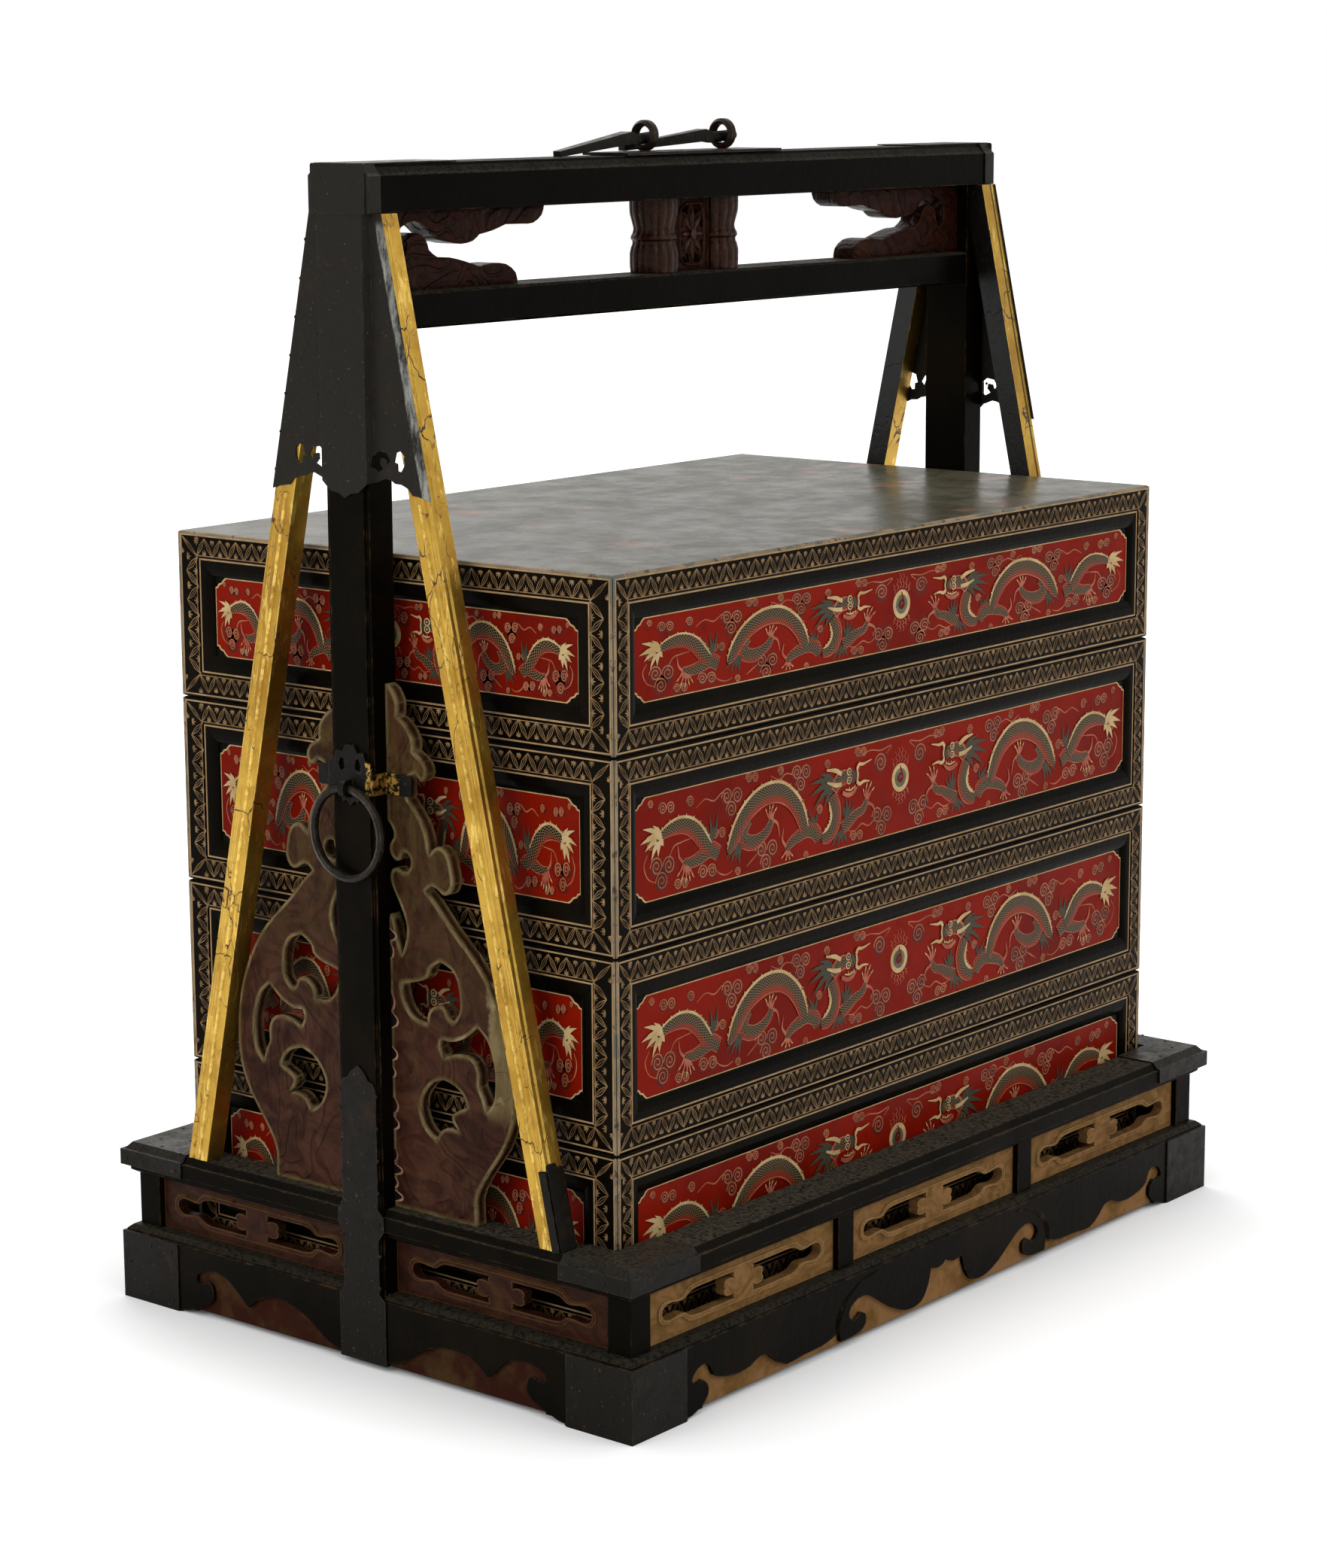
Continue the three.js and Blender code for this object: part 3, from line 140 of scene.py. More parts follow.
class Tree:
    """A node tree and short ways to add to it."""

    def __init__(self, tree):
        self.tree = tree

    def put(self, socket, value):
        """Link what a node gives, or set a plain value."""
        if isinstance(value, Value):
            self.tree.links.new(value.socket, socket)
        else:
            socket.default_value = value

    def node(self, kind, inputs=(), **settings):
        made = self.tree.nodes.new("ShaderNode" + kind)
        for key, value in settings.items():
            setattr(made, key, value)
        for key, value in dict(inputs).items():
            self.put(made.inputs[key], value)
        return made

    def give(self, kind, inputs=(), out=0, **settings):
        return Value(self, self.node(kind, inputs, **settings).outputs[out])

    def math(self, operation, *terms, clamp=False):
        return self.give("Math", enumerate(terms), operation=operation, use_clamp=clamp)

    def mix(self, share, first, second):
        return self.give("Mix", {0: share, 6: first, 7: second}, 2, data_type="RGBA")

    def coats(self, base, *coats):
        """Coats of colour over a base: share, colour, share, colour and so on."""
        for share, colour in zip(coats[::2], coats[1::2]):
            base = self.mix(share, base, colour)
        return base

    @functools.cached_property
    def place(self):
        return self.give("TexCoord", out="Object")

    def axes(self, vector=None):
        """The three parts of a vector, or of the place."""
        return [Value(self, out) for out in self.node("SeparateXYZ", {0: vector or self.place}).outputs]

    def uv_axes(self):
        """Along and across a brush stroke, in millimetres."""
        return self.axes(self.give("TexCoord", out="UV"))[:2]

    def stretched(self, scale):
        """The place stretched per axis, for grain that runs one way."""
        return self.give("Mapping", {"Vector": self.place, "Scale": scale})

    def noise(self, scale, detail=3.0, roughness=0.55, distortion=0.0, stretch=None):
        return self.give("TexNoise", {
            "Vector": self.stretched(stretch) if stretch else self.place, "Scale": scale, "Detail": detail,
            "Roughness": roughness, "Distortion": distortion,
        }, "Fac")

    def cells(self, scale, vector, feature="DISTANCE_TO_EDGE"):
        return self.give("TexVoronoi", {"Vector": vector, "Scale": scale}, "Distance", feature=feature)

    def normal(self):
        return self.give("NewGeometry", out="Normal")

    def turning(self, radius, samples=4):
        """How far a rounded edge's normal would turn here: 0.3 on an edge, 0 a radius away."""
        rounded = self.give("Bevel", {"Radius": radius}, samples=samples)
        return 1.0 - self.give("VectorMath", {0: rounded, 1: self.normal()}, "Value", operation="DOT_PRODUCT")

    def edges(self, radius):
        """1 on convex and concave edges, 0 on flat faces."""
        return self.turning(radius).reach(0.02, 0.25)

    def dust(self, amount):
        """Specks on the faces that look up."""
        upward = self.axes(self.normal())[2].reach(0.5, 0.95)
        return upward * self.noise(260, 3, 0.7).reach(0.3, 0.62) * amount


class Finish(Tree):
    """A material with a Principled shader."""

    def __init__(self, name, roughness=0.5, shine=0.3, tint=(1, 1, 1, 1)):
        self.material = bpy.data.materials.new(name)
        self.material.use_nodes = True
        super().__init__(self.material.node_tree)
        self.skin = self.tree.nodes["Principled BSDF"].inputs
        self.skin["Roughness"].default_value = roughness
        self.skin["Specular IOR Level"].default_value = shine
        self.skin["Specular Tint"].default_value = tint

    def dress(self, colour, roughness=None, metallic=None):
        """Set the colour and, where they vary, the roughness and the metal."""
        for name, value in (("Base Color", colour), ("Roughness", roughness), ("Metallic", metallic)):
            if value is not None:
                self.put(self.skin[name], value)

    def relief(self, height, depth, radius=0.0):
        """Bump of a real depth in metres, over edges rounded by radius."""
        bump = {"Height": height, "Distance": depth, "Strength": 1.0}
        if radius:
            bump["Normal"] = self.give("Bevel", {"Radius": radius}, samples=4)
        self.put(self.skin["Normal"], self.give("Bump", bump))


print("finish kit ready")

# %% [markdown]
# ## Light, backdrop and floor
# The photograph has a white sweep and very soft light. The world gives an even fill, and the camera and the
# reflections see it white. Large soft lamps model the forms, one each over the long side, the short and the back.
# The floor is pale and matt. A little glow that only the camera sees lifts it to white far out. The glow is
# weaker near the middle and where ambient occlusion finds the chest close, which paints a soft contact shadow
# round the base over the real one.

# %% World
FILL_STRENGTH = 0.45


def seen_or_mirrored(tree):
    """1 for rays from the camera and for reflected or transmitted ones."""
    seen, mirrored, through = (tree.give("LightPath", out=f"Is {kind} Ray")
                               for kind in ("Camera", "Glossy", "Transmission"))
    return seen.most(mirrored).most(through)


world = bpy.data.worlds.new("studio")
bpy.context.scene.world = world
world.use_nodes = True
sky = Tree(world.node_tree)
background = sky.tree.nodes["Background"].inputs
background["Color"].default_value = (1, 1, 1, 1)
fill = {"Value": seen_or_mirrored(sky), "To Min": FILL_STRENGTH, "To Max": 1.0}
sky.put(background["Strength"], sky.give("MapRange", fill))
bpy.context.scene.view_settings.view_transform = "Standard"
print("world fill:", FILL_STRENGTH)

# %% Floor and lamps
FLOOR_SIZE = 30.0
FLOOR_GLOW = 0.6
SHADOW_REACH = 0.18
# Each lamp is a name, a place, the height that it aims at over the middle, a size and a power
LAMPS = (("long_side_lamp", (0.9, -3.4, 2.6), 0.45, 1.8, 33), ("short_side_lamp", (-3.6, 0.4, 2.2), 0.5, 1.8, 35),
         ("back_lamp", (1.6, 3.0, 2.8), 0.5, 2.0, 30))


def as_mesh(form, name):
    """Turn a bmesh into a mesh. The bmesh is used up."""
    mesh = bpy.data.meshes.new(name)
    form.to_mesh(mesh)
    form.free()
    return mesh


def floor_finish():
    f = Finish("pale_floor", 1.0, 0.0)
    f.dress((0.82, 0.82, 0.82, 1))
    f.skin["Emission Color"].default_value = (1, 1, 1, 1)
    # The glow is weaker near the middle and where ambient occlusion finds the chest close: a painted contact shadow
    # on the floor.
    away = f.give("VectorMath", {0: f.place}, "Value", operation="LENGTH")
    glow = {"Value": away, "From Min": 0.5, "From Max": 1.0, "To Min": FLOOR_GLOW, "To Max": 1.0}
    far = f.give("MapRange", glow, interpolation_type="SMOOTHSTEP")
    open_air = f.give("AmbientOcclusion", {"Distance": SHADOW_REACH}, "AO", samples=8)
    glow_outside_painted_shadow = f.give("MapRange", {"Value": open_air, "From Max": 0.97})
    f.put(f.skin["Emission Strength"], seen_or_mirrored(f) * far * glow_outside_painted_shadow)
    return f.material


floor_form = bmesh.new()
bmesh.ops.create_grid(floor_form, x_segments=1, y_segments=1, size=FLOOR_SIZE / 2)
floor = bpy.data.objects.new("floor", as_mesh(floor_form, "floor"))
bpy.context.scene.collection.objects.link(floor)
floor.data.materials.append(floor_finish())

for name, place, aim, size, power in LAMPS:
    lamp = bpy.data.lights.new(name, "AREA")
    lamp.size, lamp.energy = size, power
    stand = bpy.data.objects.new(name, lamp)
    turned = (Vector((0, 0, aim)) - Vector(place)).to_track_quat("-Z", "Y").to_matrix().to_4x4()
    stand.matrix_world = Matrix.Translation(place) @ turned
    bpy.context.scene.collection.objects.link(stand)
print("lamps:", len(LAMPS))

# %% [markdown]
# ## Black lacquer
# Old lacquer is a very dark brown, glossy where hands don't reach and hazy where they do. Its edges rub through
# to brown and to a thin line of ochre ground, and dust dulls every top. One recipe serves all the black wood,
# with a share for the dust.

# %% Black lacquer
LACQUER_BLACK = srgb(10, 8, 5)
LACQUER_BROWN = srgb(22, 17, 10)
WARM_GLOSS = (1.0, 0.86, 0.66, 1.0)
EDGE_OCHRE = srgb(120, 88, 56)
DUST = srgb(84, 79, 68)


def lacquer(name, dust=0.7, wear=0.6, gloss=0.28, tones=(LACQUER_BLACK, LACQUER_BROWN)):
    f = Finish(name, shine=0.022, tint=WARM_GLOSS)
    rub = f.edges(0.0022) * f.noise(60, 5, 0.65).reach(0.62 - 0.25 * wear, 0.75)
    settled = f.dust(dust)
    haze = f.noise(24, 4, 0.6).reach(0.3, 0.8).scaled(0.22, gloss)
    f.dress(f.coats(tones[0], f.noise(9, 4, 0.6).reach(0.42, 0.72), tones[1], rub * 0.9, EDGE_OCHRE, settled, DUST),
            f.math("ADD", haze, settled * 0.5, clamp=True))
    f.relief(f.noise(140, 3, 0.5), 0.00025, 0.0012)
    return f.material


black_lacquer = lacquer("black_lacquer")
dusty_lacquer = lacquer("dusty_lacquer", dust=1.0, wear=0.9, gloss=0.34)
# The beam and the lower rails take a darker copy of the same lacquer: painted shade that makes them darker than the
# other black wood.
shaded_beam_lacquer = lacquer("shaded_beam_lacquer", wear=0.8, tones=(srgb(3, 3, 2), srgb(9, 7, 5)))
print("lacquers:", black_lacquer.name, dusty_lacquer.name, shaded_beam_lacquer.name)

# %% [markdown]
# ## Forged iron
# The mounts are sheet and bar, nearly black, with a soft sheen, fine pits and a few rubbed edges. Iron shows
# grey on its edges and a brown bloom of rust in patches. Two mounts have more: a sheath's edge over one strut is
# rubbed bright by the rope, and old leaf clings to the handle's strap beside the pierced plate.

# %% Iron
IRON_DARK = srgb(25, 22, 17)
IRON_GREY = srgb(112, 108, 102)
RUST = srgb(74, 50, 36)
RUST_SPECK = srgb(128, 96, 72)
STRUT_LEAN = 0.2145  # how far a strut's outer edge moves in for each unit of height
STRUT_FOOT = (0.2199, 0.1453)  # that edge's distance from the middle, and its height, at the foot


def worn_flange(f):
    """The sheath's bright edge over one strut at each end."""
    x, y, z = f.axes()
    edge = z.scaled(STRUT_LEAN, -STRUT_FOOT[0] - STRUT_LEAN * STRUT_FOOT[1])
    near = (abs(y) + edge + f.noise(40, 5, 0.7) * 0.004).reach(-0.0052, -0.0038)
    return near * (x * y).sign().reach(0.4, 0.6) * z.reach(0.985, 0.975)


def gilt_flakes(f):
    """A patch of leaf to the right of each handle, and a few flakes across it."""
    x, y, _ = f.axes()
    hand = y * x.sign()
    patch = hand.reach(0.014, 0.019) * hand.reach(0.044, 0.039)
    few = hand.reach(-0.025, 0.0) * 0.56
    return (patch.most(few) * 0.5 + f.noise(170, 5, 0.75)).reach(0.98, 1.03)


def iron(name, rust=0.35, bright=0.5, extra=None, extra_tones=(), tone=IRON_DARK, gloss=0.34, metal=0.15):
    f = Finish(name, shine=0.08)
    rub = f.edges(0.0016) * f.noise(90, 4, 0.6).reach(0.42, 0.7)
    base = f.coats(tone, f.noise(30, 4, 0.6).reach(0.62 - 0.2 * rust, 0.85 - 0.2 * rust) * rust, RUST,
                   f.noise(330, 2, 0.5).reach(0.7, 0.74) * 0.5, RUST_SPECK, f.dust(0.6), DUST,
                   rub * bright, IRON_GREY)
    if extra:
        share = extra(f)
        streak = f.noise(90, 6, 0.75, stretch=(1.0, 1.0, 0.3)).reach(0.36, 0.62)
        base = f.mix(share, base, f.mix(streak, *extra_tones))
        rub = rub.most(share)
    f.dress(base, f.noise(70, 4, 0.6).reach(0.3, 0.75).scaled(0.25, gloss), rub.scaled(0.4, metal))
    f.relief(f.noise(230, 4, 0.65), 0.0004, 0.0009)
    return f.material


dark_iron = iron("dark_iron")
rusty_iron = iron("rusty_iron", rust=0.9, bright=0.3, tone=srgb(38, 29, 22))
sheath_iron = iron("sheath_iron", 0.25, 0.4, worn_flange, (srgb(150, 150, 144), srgb(38, 37, 34)),
                   srgb(36, 33, 28))
handle_iron = iron("handle_iron", 0.4, 0.3, gilt_flakes, (srgb(206, 168, 84), srgb(146, 110, 48)),
                   srgb(17, 15, 12))
ring_iron = iron("ring_iron", 0.4, 0.8, tone=srgb(36, 31, 26), gloss=0.13, metal=0.7)
print("irons:", *(m.name for m in (dark_iron, rusty_iron, sheath_iron, handle_iron, ring_iron)))

# %% [markdown]
# ## Gilding
# The struts are gilded on the faces that show, and black toward the boxes. Leaf is thin and brittle, so short
# and long cracks cross it, and they and the rubs let red ground and dark wood through. The bead down each strut
# is burnished, so it is smoother. Painted highlights of a paler gold lie along the edges and in thin upright
# streaks, and painted glints lie in patches on the bead.

# %% Gilding
GOLD = srgb(188, 150, 60)
GOLD_DEEP = srgb(150, 111, 36)
# A paler gold for painted highlights and glints.
GOLD_HIGHLIGHT = srgb(248, 214, 116)
GROUND_RED = srgb(92, 44, 22)
GROUND_DARK = srgb(44, 32, 20)


def gilding(name, burnish_and_glint=0.0):
    f = Finish(name)
    short_cracks = f.cells(150, f.stretched((1.0, 1.0, 0.35))).reach(0.035, 0.0)
    short_cracks = short_cracks * f.noise(45, 5, 0.7).reach(0.5, 0.7)
    wander = f.give("VectorMath", {0: f.give("TexNoise", {"Vector": f.place, "Scale": 60.0}, "Color"),
                                   1: (0.012, 0.012, 0.012)}, operation="MULTIPLY")
    bent = f.give("VectorMath", {0: f.stretched((1.0, 1.0, 0.55)), 1: wander}, operation="ADD")
    long_cracks = f.cells(38, bent).reach(0.02, 0.004) * f.noise(19, 4, 0.6).reach(0.46, 0.56)
    edge = f.edges(0.0012) * f.noise(80, 4, 0.6).reach(0.6, 0.7)
    rub = f.noise(110, 5, 0.7).reach(0.66, 0.74)
    bare = short_cracks.most(long_cracks).most(rub).most(edge * (0.6 - burnish_and_glint * 0.5))
    inner = (f.axes(f.normal())[0] * f.axes()[0].sign()).reach(-0.5, -0.8)
    # The paler gold coats are painted highlights: glints on the bead, a line along the edges and thin upright
    # streaks.
    leaf = f.coats(GOLD, f.noise(16, 5, 0.6).reach(0.35, 0.7), GOLD_DEEP,
                   f.noise(120, 4, 0.7).reach(0.4, 0.6) * burnish_and_glint, GOLD_HIGHLIGHT,
                   f.edges(0.0022) * f.noise(30, 4, 0.6).reach(0.4, 0.6), GOLD_HIGHLIGHT,
                   f.noise(120, 5, 0.65, stretch=(1.0, 1.0, 0.2)).reach(0.58, 0.66) * 0.45, GOLD_HIGHLIGHT,
                   bare, f.mix(f.noise(200, 2).reach(0.45, 0.6), GROUND_RED, GROUND_DARK), inner, LACQUER_BLACK)
    f.dress(leaf, f.noise(90, 4, 0.6).scaled(0.2, 0.27 - burnish_and_glint * 0.14), (1.0 - bare.most(inner)) * 0.85)
    f.relief(f.noise(34, 5, 0.6) + f.noise(150, 4, 0.6) * 0.3 - bare * 0.3, 0.0007, 0.0012)
    return f.material


gilt = gilding("gilt")
gilt_bead = gilding("gilt_bead", burnish_and_glint=0.5)
print("gilding:", gilt.name, gilt_bead.name)

# %% [markdown]
# ## Painted wood
# Wings, panels and carvings have a thin, brushed paint. On panels and carvings the edges take a lighter ochre
# rim, partly paint rubbed through to ochre and partly painted highlight along the moulded and carved edges. The
# brush marks are a noise that is itself bent by another noise, which gives the loose swirls of a wide dry brush.
# The wings have a broad, ragged rim of khaki, broadest on the outer arm of the near ones.

# %% Painted wood


def painted_wood(name, tones, rim, radius, rim_share, roughness, swirl, soft=0.0012, cuts=0.0, shine=0.06):
    f = Finish(name, shine=shine, tint=WARM_GLOSS)
    marks = f.noise(swirl, 6, 0.62, 2.4, (1.0, 1.0, 1.6))
    # Edges take the rim tone: partly paint rubbed through, partly painted highlight along moulded and carved edges.
    rubbed_and_highlit_rim = f.edges(radius) * f.noise(55, 4, 0.6).reach(0.25, 0.5)
    f.dress(f.coats(tones[0], marks.reach(0.35, 0.65), tones[1],
                    f.noise(swirl / 2, 3, 0.5, 1.2).reach(0.55, 0.75) * 0.6, tones[2], rubbed_and_highlit_rim * rim_share, rim),
            marks.scaled(0.25, roughness - 0.12))
    height = marks + f.noise(160, 3) * 0.4
    if cuts:
        height = height - (f.noise(8, 2, 0.5, 1.4) * 70.0).sine().reach(0.2, 0.95) * cuts
    f.relief(height, 0.0014 if cuts else 0.0006, soft)
    return f.material


def wing_wood():
    f = Finish("wing_paint", shine=0.06, tint=WARM_GLOSS)
    _, y, z = f.axes()
    marks = f.noise(13, 6, 0.62, 2.6, (1.0, 1.0, 1.5))
    fine = f.noise(70, 4, 0.6, stretch=(1.0, 1.0, 0.35))
    cut = (f.noise(7, 2, 0.5, 1.6) * 60.0).sine().reach(0.4, 1.0)
    streaked = f.mix(f.noise(30, 6, 0.7, 1.0, (1.0, 1.0, 0.4)).reach(0.38, 0.6), srgb(40, 25, 14), srgb(98, 78, 42))
    brown = f.coats(srgb(76, 45, 31), marks.reach(0.35, 0.65), srgb(44, 22, 16),
                    fine.reach(0.5, 0.72) * 0.3, srgb(100, 74, 48), cut * 0.45, srgb(42, 13, 9),
                    z.reach(0.26, 0.56) * marks.reach(0.3, 0.6) * 0.8, streaked)
    wall = abs(f.axes(f.normal())[0]).reach(0.8, 0.5)
    khaki = f.coats(srgb(136, 118, 80), fine.reach(0.35, 0.65), srgb(104, 88, 56),
                    f.noise(36, 4).reach(0.55, 0.7), srgb(158, 142, 106),
                    wall * f.noise(30, 4, 0.6).reach(0.35, 0.6), srgb(178, 158, 116))
    rim = (f.turning(0.008, 8) - f.noise(26, 5, 0.7) * 0.09).reach(-0.008, 0.003)
    arm = (y * -1.0 + f.noise(24, 5, 0.7) * 0.03).reach(0.148, 0.152) * z.reach(0.235, 0.26) * z.reach(0.47, 0.4)
    f.dress(f.mix(rim.most(arm), brown, khaki), marks.scaled(0.25, 0.34))
    f.relief(marks + fine * 0.3 - cut * 0.35, 0.0022, 0.0035)
    return f.material


wing_paint = wing_wood()
ochre_paint = painted_wood("ochre_paint", (srgb(154, 114, 70), srgb(120, 88, 48), srgb(98, 62, 38)),
                           srgb(182, 148, 98), 0.003, 0.9, 0.6, 30)
brown_paint = painted_wood("brown_paint", (srgb(64, 34, 23), srgb(40, 21, 15), srgb(84, 56, 32)),
                           srgb(132, 96, 54), 0.003, 0.8, 0.4, 30)
carved_red = painted_wood("carved_red", (srgb(46, 16, 8), srgb(22, 9, 5), srgb(60, 29, 14)),
                          srgb(112, 72, 40), 0.003, 0.6, 0.34, 40, soft=0.005, cuts=0.7, shine=0.04)
carved_petals = painted_wood("carved_petals", (srgb(50, 18, 10), srgb(26, 10, 6), srgb(64, 30, 17)),
                             srgb(104, 60, 36), 0.0016, 0.5, 0.26, 60, shine=0.12)
print("painted woods: wing, ochre, brown, carved red")

# %% [markdown]
# ## Aprons
# The plinth's apron has a black cloud outline in front of a recessed painted ground. The recess is real depth,
# so one shader can tell the two apart by how far a point lies behind the face.

# %% Aprons
RELIEF_MIDDLE = 0.0015  # behind the apron's face, half way down the relief


def apron_paint(name, axis, ground, ground_dark):
    f = Finish(name, shine=0.03, tint=WARM_GLOSS)
    low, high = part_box("apron_front") if axis == 1 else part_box("apron_left")
    place = f.axes()
    sunk = (abs(low[axis]) - abs(place[axis])).reach(RELIEF_MIDDLE, RELIEF_MIDDLE + 0.0008)
    sunk = sunk * abs(f.axes(f.normal())[axis]).reach(0.5, 0.8) * place[2].reach(0.0615, 0.0605)
    rub = f.edges(0.002) * f.noise(60, 5, 0.65).reach(0.45, 0.7)
    settled = f.dust(0.5)
    black = f.coats(LACQUER_BLACK, f.noise(9, 4, 0.6).reach(0.42, 0.72), LACQUER_BROWN, rub * 0.8, EDGE_OCHRE,
                    settled, DUST)
    paint = f.mix(f.noise(26, 5, 0.65).reach(0.4, 0.65), ground, ground_dark)
    f.dress(f.mix(sunk, black, paint), sunk.most(settled).scaled(0.35, 0.34))
    f.relief(f.noise(120, 4, 0.6), 0.0004, 0.0014)
    return f.material


long_apron = apron_paint("long_apron", 1, srgb(156, 116, 74), srgb(122, 88, 48))
short_apron = apron_paint("short_apron", 0, srgb(58, 29, 21), srgb(76, 56, 33))
print("aprons:", long_apron.name, short_apron.name)

# %% Give the solid nodes their finishes
# The first row whose start fits a node's name gives its finish
FINISHES = (
    (("apron_front", "apron_back"), long_apron),
    ("apron", short_apron),
    (("rail_front", "rail_back", "rail_left", "rail_right"), dusty_lacquer),
    (("beam", "lower_rail"), shaded_beam_lacquer),
    (("post", "tray_floor"), black_lacquer),
    (("panel_front", "panel_back"), ochre_paint),
    ("panel", brown_paint),
    ("wing", wing_paint),
    ("strut", gilt),
    (("spandrel", "centre_block"), carved_red),
    (("eye_left", "eye_right"), rusty_iron),
    ("sheath", sheath_iron),
    ("handle_mount", handle_iron),
    ("ring", ring_iron),
    ("", dark_iron),
)
for node, obj in nodes.items():
    obj.data.materials.clear()
    obj.data.materials.append(next(finish for start, finish in FINISHES if node.startswith(start)))
print("nodes with a finish:", len(nodes))

# %% [markdown]
# ## Boxes
# Each box has a flat band round every face, a thin step, a flat for painted lines and a black cove that falls to
# a sunk panel. The solid boxes already have that form, so the visible boxes are joined copies of them, and each
# face takes its paint by where it lies: band, rounded edge, cove or lid top.

# %% Box sizes
box_low, box_high = (Vector(c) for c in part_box("tier_upper"))
HALF_LENGTH = box_high.x
HALF_DEPTH = box_high.y
TIERS = ("tier_bottom", "tier_middle", "tier_upper")
BOXES = TIERS + ("lid",)
LIP = 6 * MM  # stands above each tier's face

# The solid's borders in millimetres: ends, then top and bottom; the flat beyond the step; the cove both ways
BORDER = {"long": (19, 22), "short": (24, 22)}
COVE = {"long": (8, 12.5), "short": (12, 12.5)}
FLAT = 4.6
STEP = 0.8
SUNK = 5.0


def box_span(node):
    """Lowest and highest point of the box's own faces, without its lip."""
    low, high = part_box(node)
    return low[2], high[2] - (0 if node == "lid" else LIP)


for node in BOXES:
    print(node, [round(z, 4) for z in box_span(node)])

# %% Side frames
TURNS = {"front": 0, "right": 90, "back": 180, "left": 270}


def side_kind(side):
    return "long" if side in ("front", "back") else "short"


def upright_plane(side, away, middle=0.0):
    """Turns (along, up, out) on an upright plane, a distance away from the axis, into a place in the chest."""
    face = Matrix(((1, 0, 0, 0), (0, 0, -1, -away), (0, 1, 0, middle), (0, 0, 0, 1)))
    return Matrix.Rotation(math.radians(TURNS[side]), 4, "Z") @ face


def side_frame(side, middle):
    """The plane of one side of the boxes."""
    return upright_plane(side, HALF_DEPTH if side_kind(side) == "long" else HALF_LENGTH, middle)


print("front face normal:", (side_frame("front", 0).to_3x3() @ Vector((0, 0, 1))).to_tuple(1))

# %% Joined copy of a solid


def joined_copy(node):
    """A bmesh of a solid node, with its loose triangles joined and its flat areas made whole."""
    form = bmesh.new()
    form.from_mesh(nodes[node].data)
    form.transform(nodes[node].matrix_world)
    bmesh.ops.remove_doubles(form, verts=form.verts, dist=2e-6)
    bmesh.ops.dissolve_limit(form, angle_limit=math.radians(0.5), verts=form.verts, edges=form.edges,
                             use_dissolve_boundaries=False)
    return form


def finish_piece(name, form, materials, body, replaced=()):
    """Turn a bmesh into a named piece that rides on a body."""
    obj = bpy.data.objects.new(name, as_mesh(form, name))
    for material in materials:
        obj.data.materials.append(material)
    bpy.context.scene.collection.objects.link(obj)
    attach(obj, body)
    if replaced:
        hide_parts(*replaced)
    print(name, len(obj.data.polygons), "faces")


print("corners of the joined lid:", len(joined_copy("lid").verts))

# %% Which paint each face of a box takes
BAND, EDGE, COVED, TOP = range(4)


def box_paint(face, node):
    """The paint of one face of a box, by where it lies and where it looks."""
    low, high = box_span(node)
    centre = face.calc_center_median()
    normal = face.normal
    behind = min(HALF_LENGTH - abs(centre.x), HALF_DEPTH - abs(centre.y))
    flat = max(abs(normal.x), abs(normal.y), abs(normal.z)) > 0.999
    if node == "lid" and normal.z > 0.99 and centre.z > high - MM:
        return TOP
    if 0.2 * MM < behind < 6 * MM and low + 5 * MM < centre.z < high - 5 * MM:
        inside = abs(centre.x) < HALF_LENGTH - 10 * MM or abs(centre.y) < HALF_DEPTH - 10 * MM
        return COVED if inside else EDGE
    upright = abs(normal.z) < 0.3
    lid_rim = node == "lid" and centre.z > high - 6 * MM
    return EDGE if not flat and (upright or lid_rim) else BAND


def tan_edge():
    """Tan edges with dark chips and, near one corner, patches of loose grey filler."""
    f = Finish("tan_edge")
    corner = f.give("VectorMath", {0: f.place, 1: (-0.404, -0.25, 0.7)}, "Value", operation="DISTANCE")
    filler = f.noise(22, 4, 0.6) + corner.reach(0.02, 0.006) * 0.4 + f.axes()[1].reach(-0.2, -0.24) * 0.05
    f.dress(f.coats(srgb(158, 138, 108), f.noise(38, 4, 0.6).reach(0.35, 0.65), srgb(124, 109, 84),
                    f.noise(90, 5, 0.7).reach(0.55, 0.62) * 0.85, srgb(46, 38, 30),
                    filler.reach(0.62, 0.65), srgb(104, 102, 90)))
    f.relief(f.noise(150, 4, 0.6), 0.0005)
    return f.material


def lid_painting_and_reflection():
    """Black lacquer with a rubbed flower painting, as faint as old age has left it.
    Its grey base tones are a painted reflection of the white surroundings on the glossy top.
    """
    f = Finish("lid_painting_and_reflection", shine=0.1)
    petal = f.cells(9.0, f.stretched((1.0, 1.0, 0.0)), "F1") + f.noise(38, 4, 0.6) * 0.5
    flower = petal.reach(0.52, 0.42) * f.noise(20, 5, 0.7).reach(0.42, 0.62) * 0.9
    # The grey tones are painted reflection on the black lacquer; the pink patches are the flower painting.
    f.dress(f.coats(srgb(84, 80, 64), f.noise(15, 6, 0.7, 1.5).reach(0.38, 0.64), srgb(110, 103, 84),
                    f.noise(60, 5, 0.7, stretch=(0.12, 1.0, 1.0)).reach(0.36, 0.64) * 0.4, srgb(62, 62, 46),
                    flower, srgb(158, 108, 88),
                    f.noise(30, 5, 0.6, 3.0).reach(0.6, 0.66) * 0.3, srgb(120, 118, 98)),
            f.noise(26, 6, 0.7).reach(0.3, 0.75).scaled(0.16, 0.24))
    f.relief(f.noise(90, 5, 0.6), 0.0002, 0.001)
    return f.material


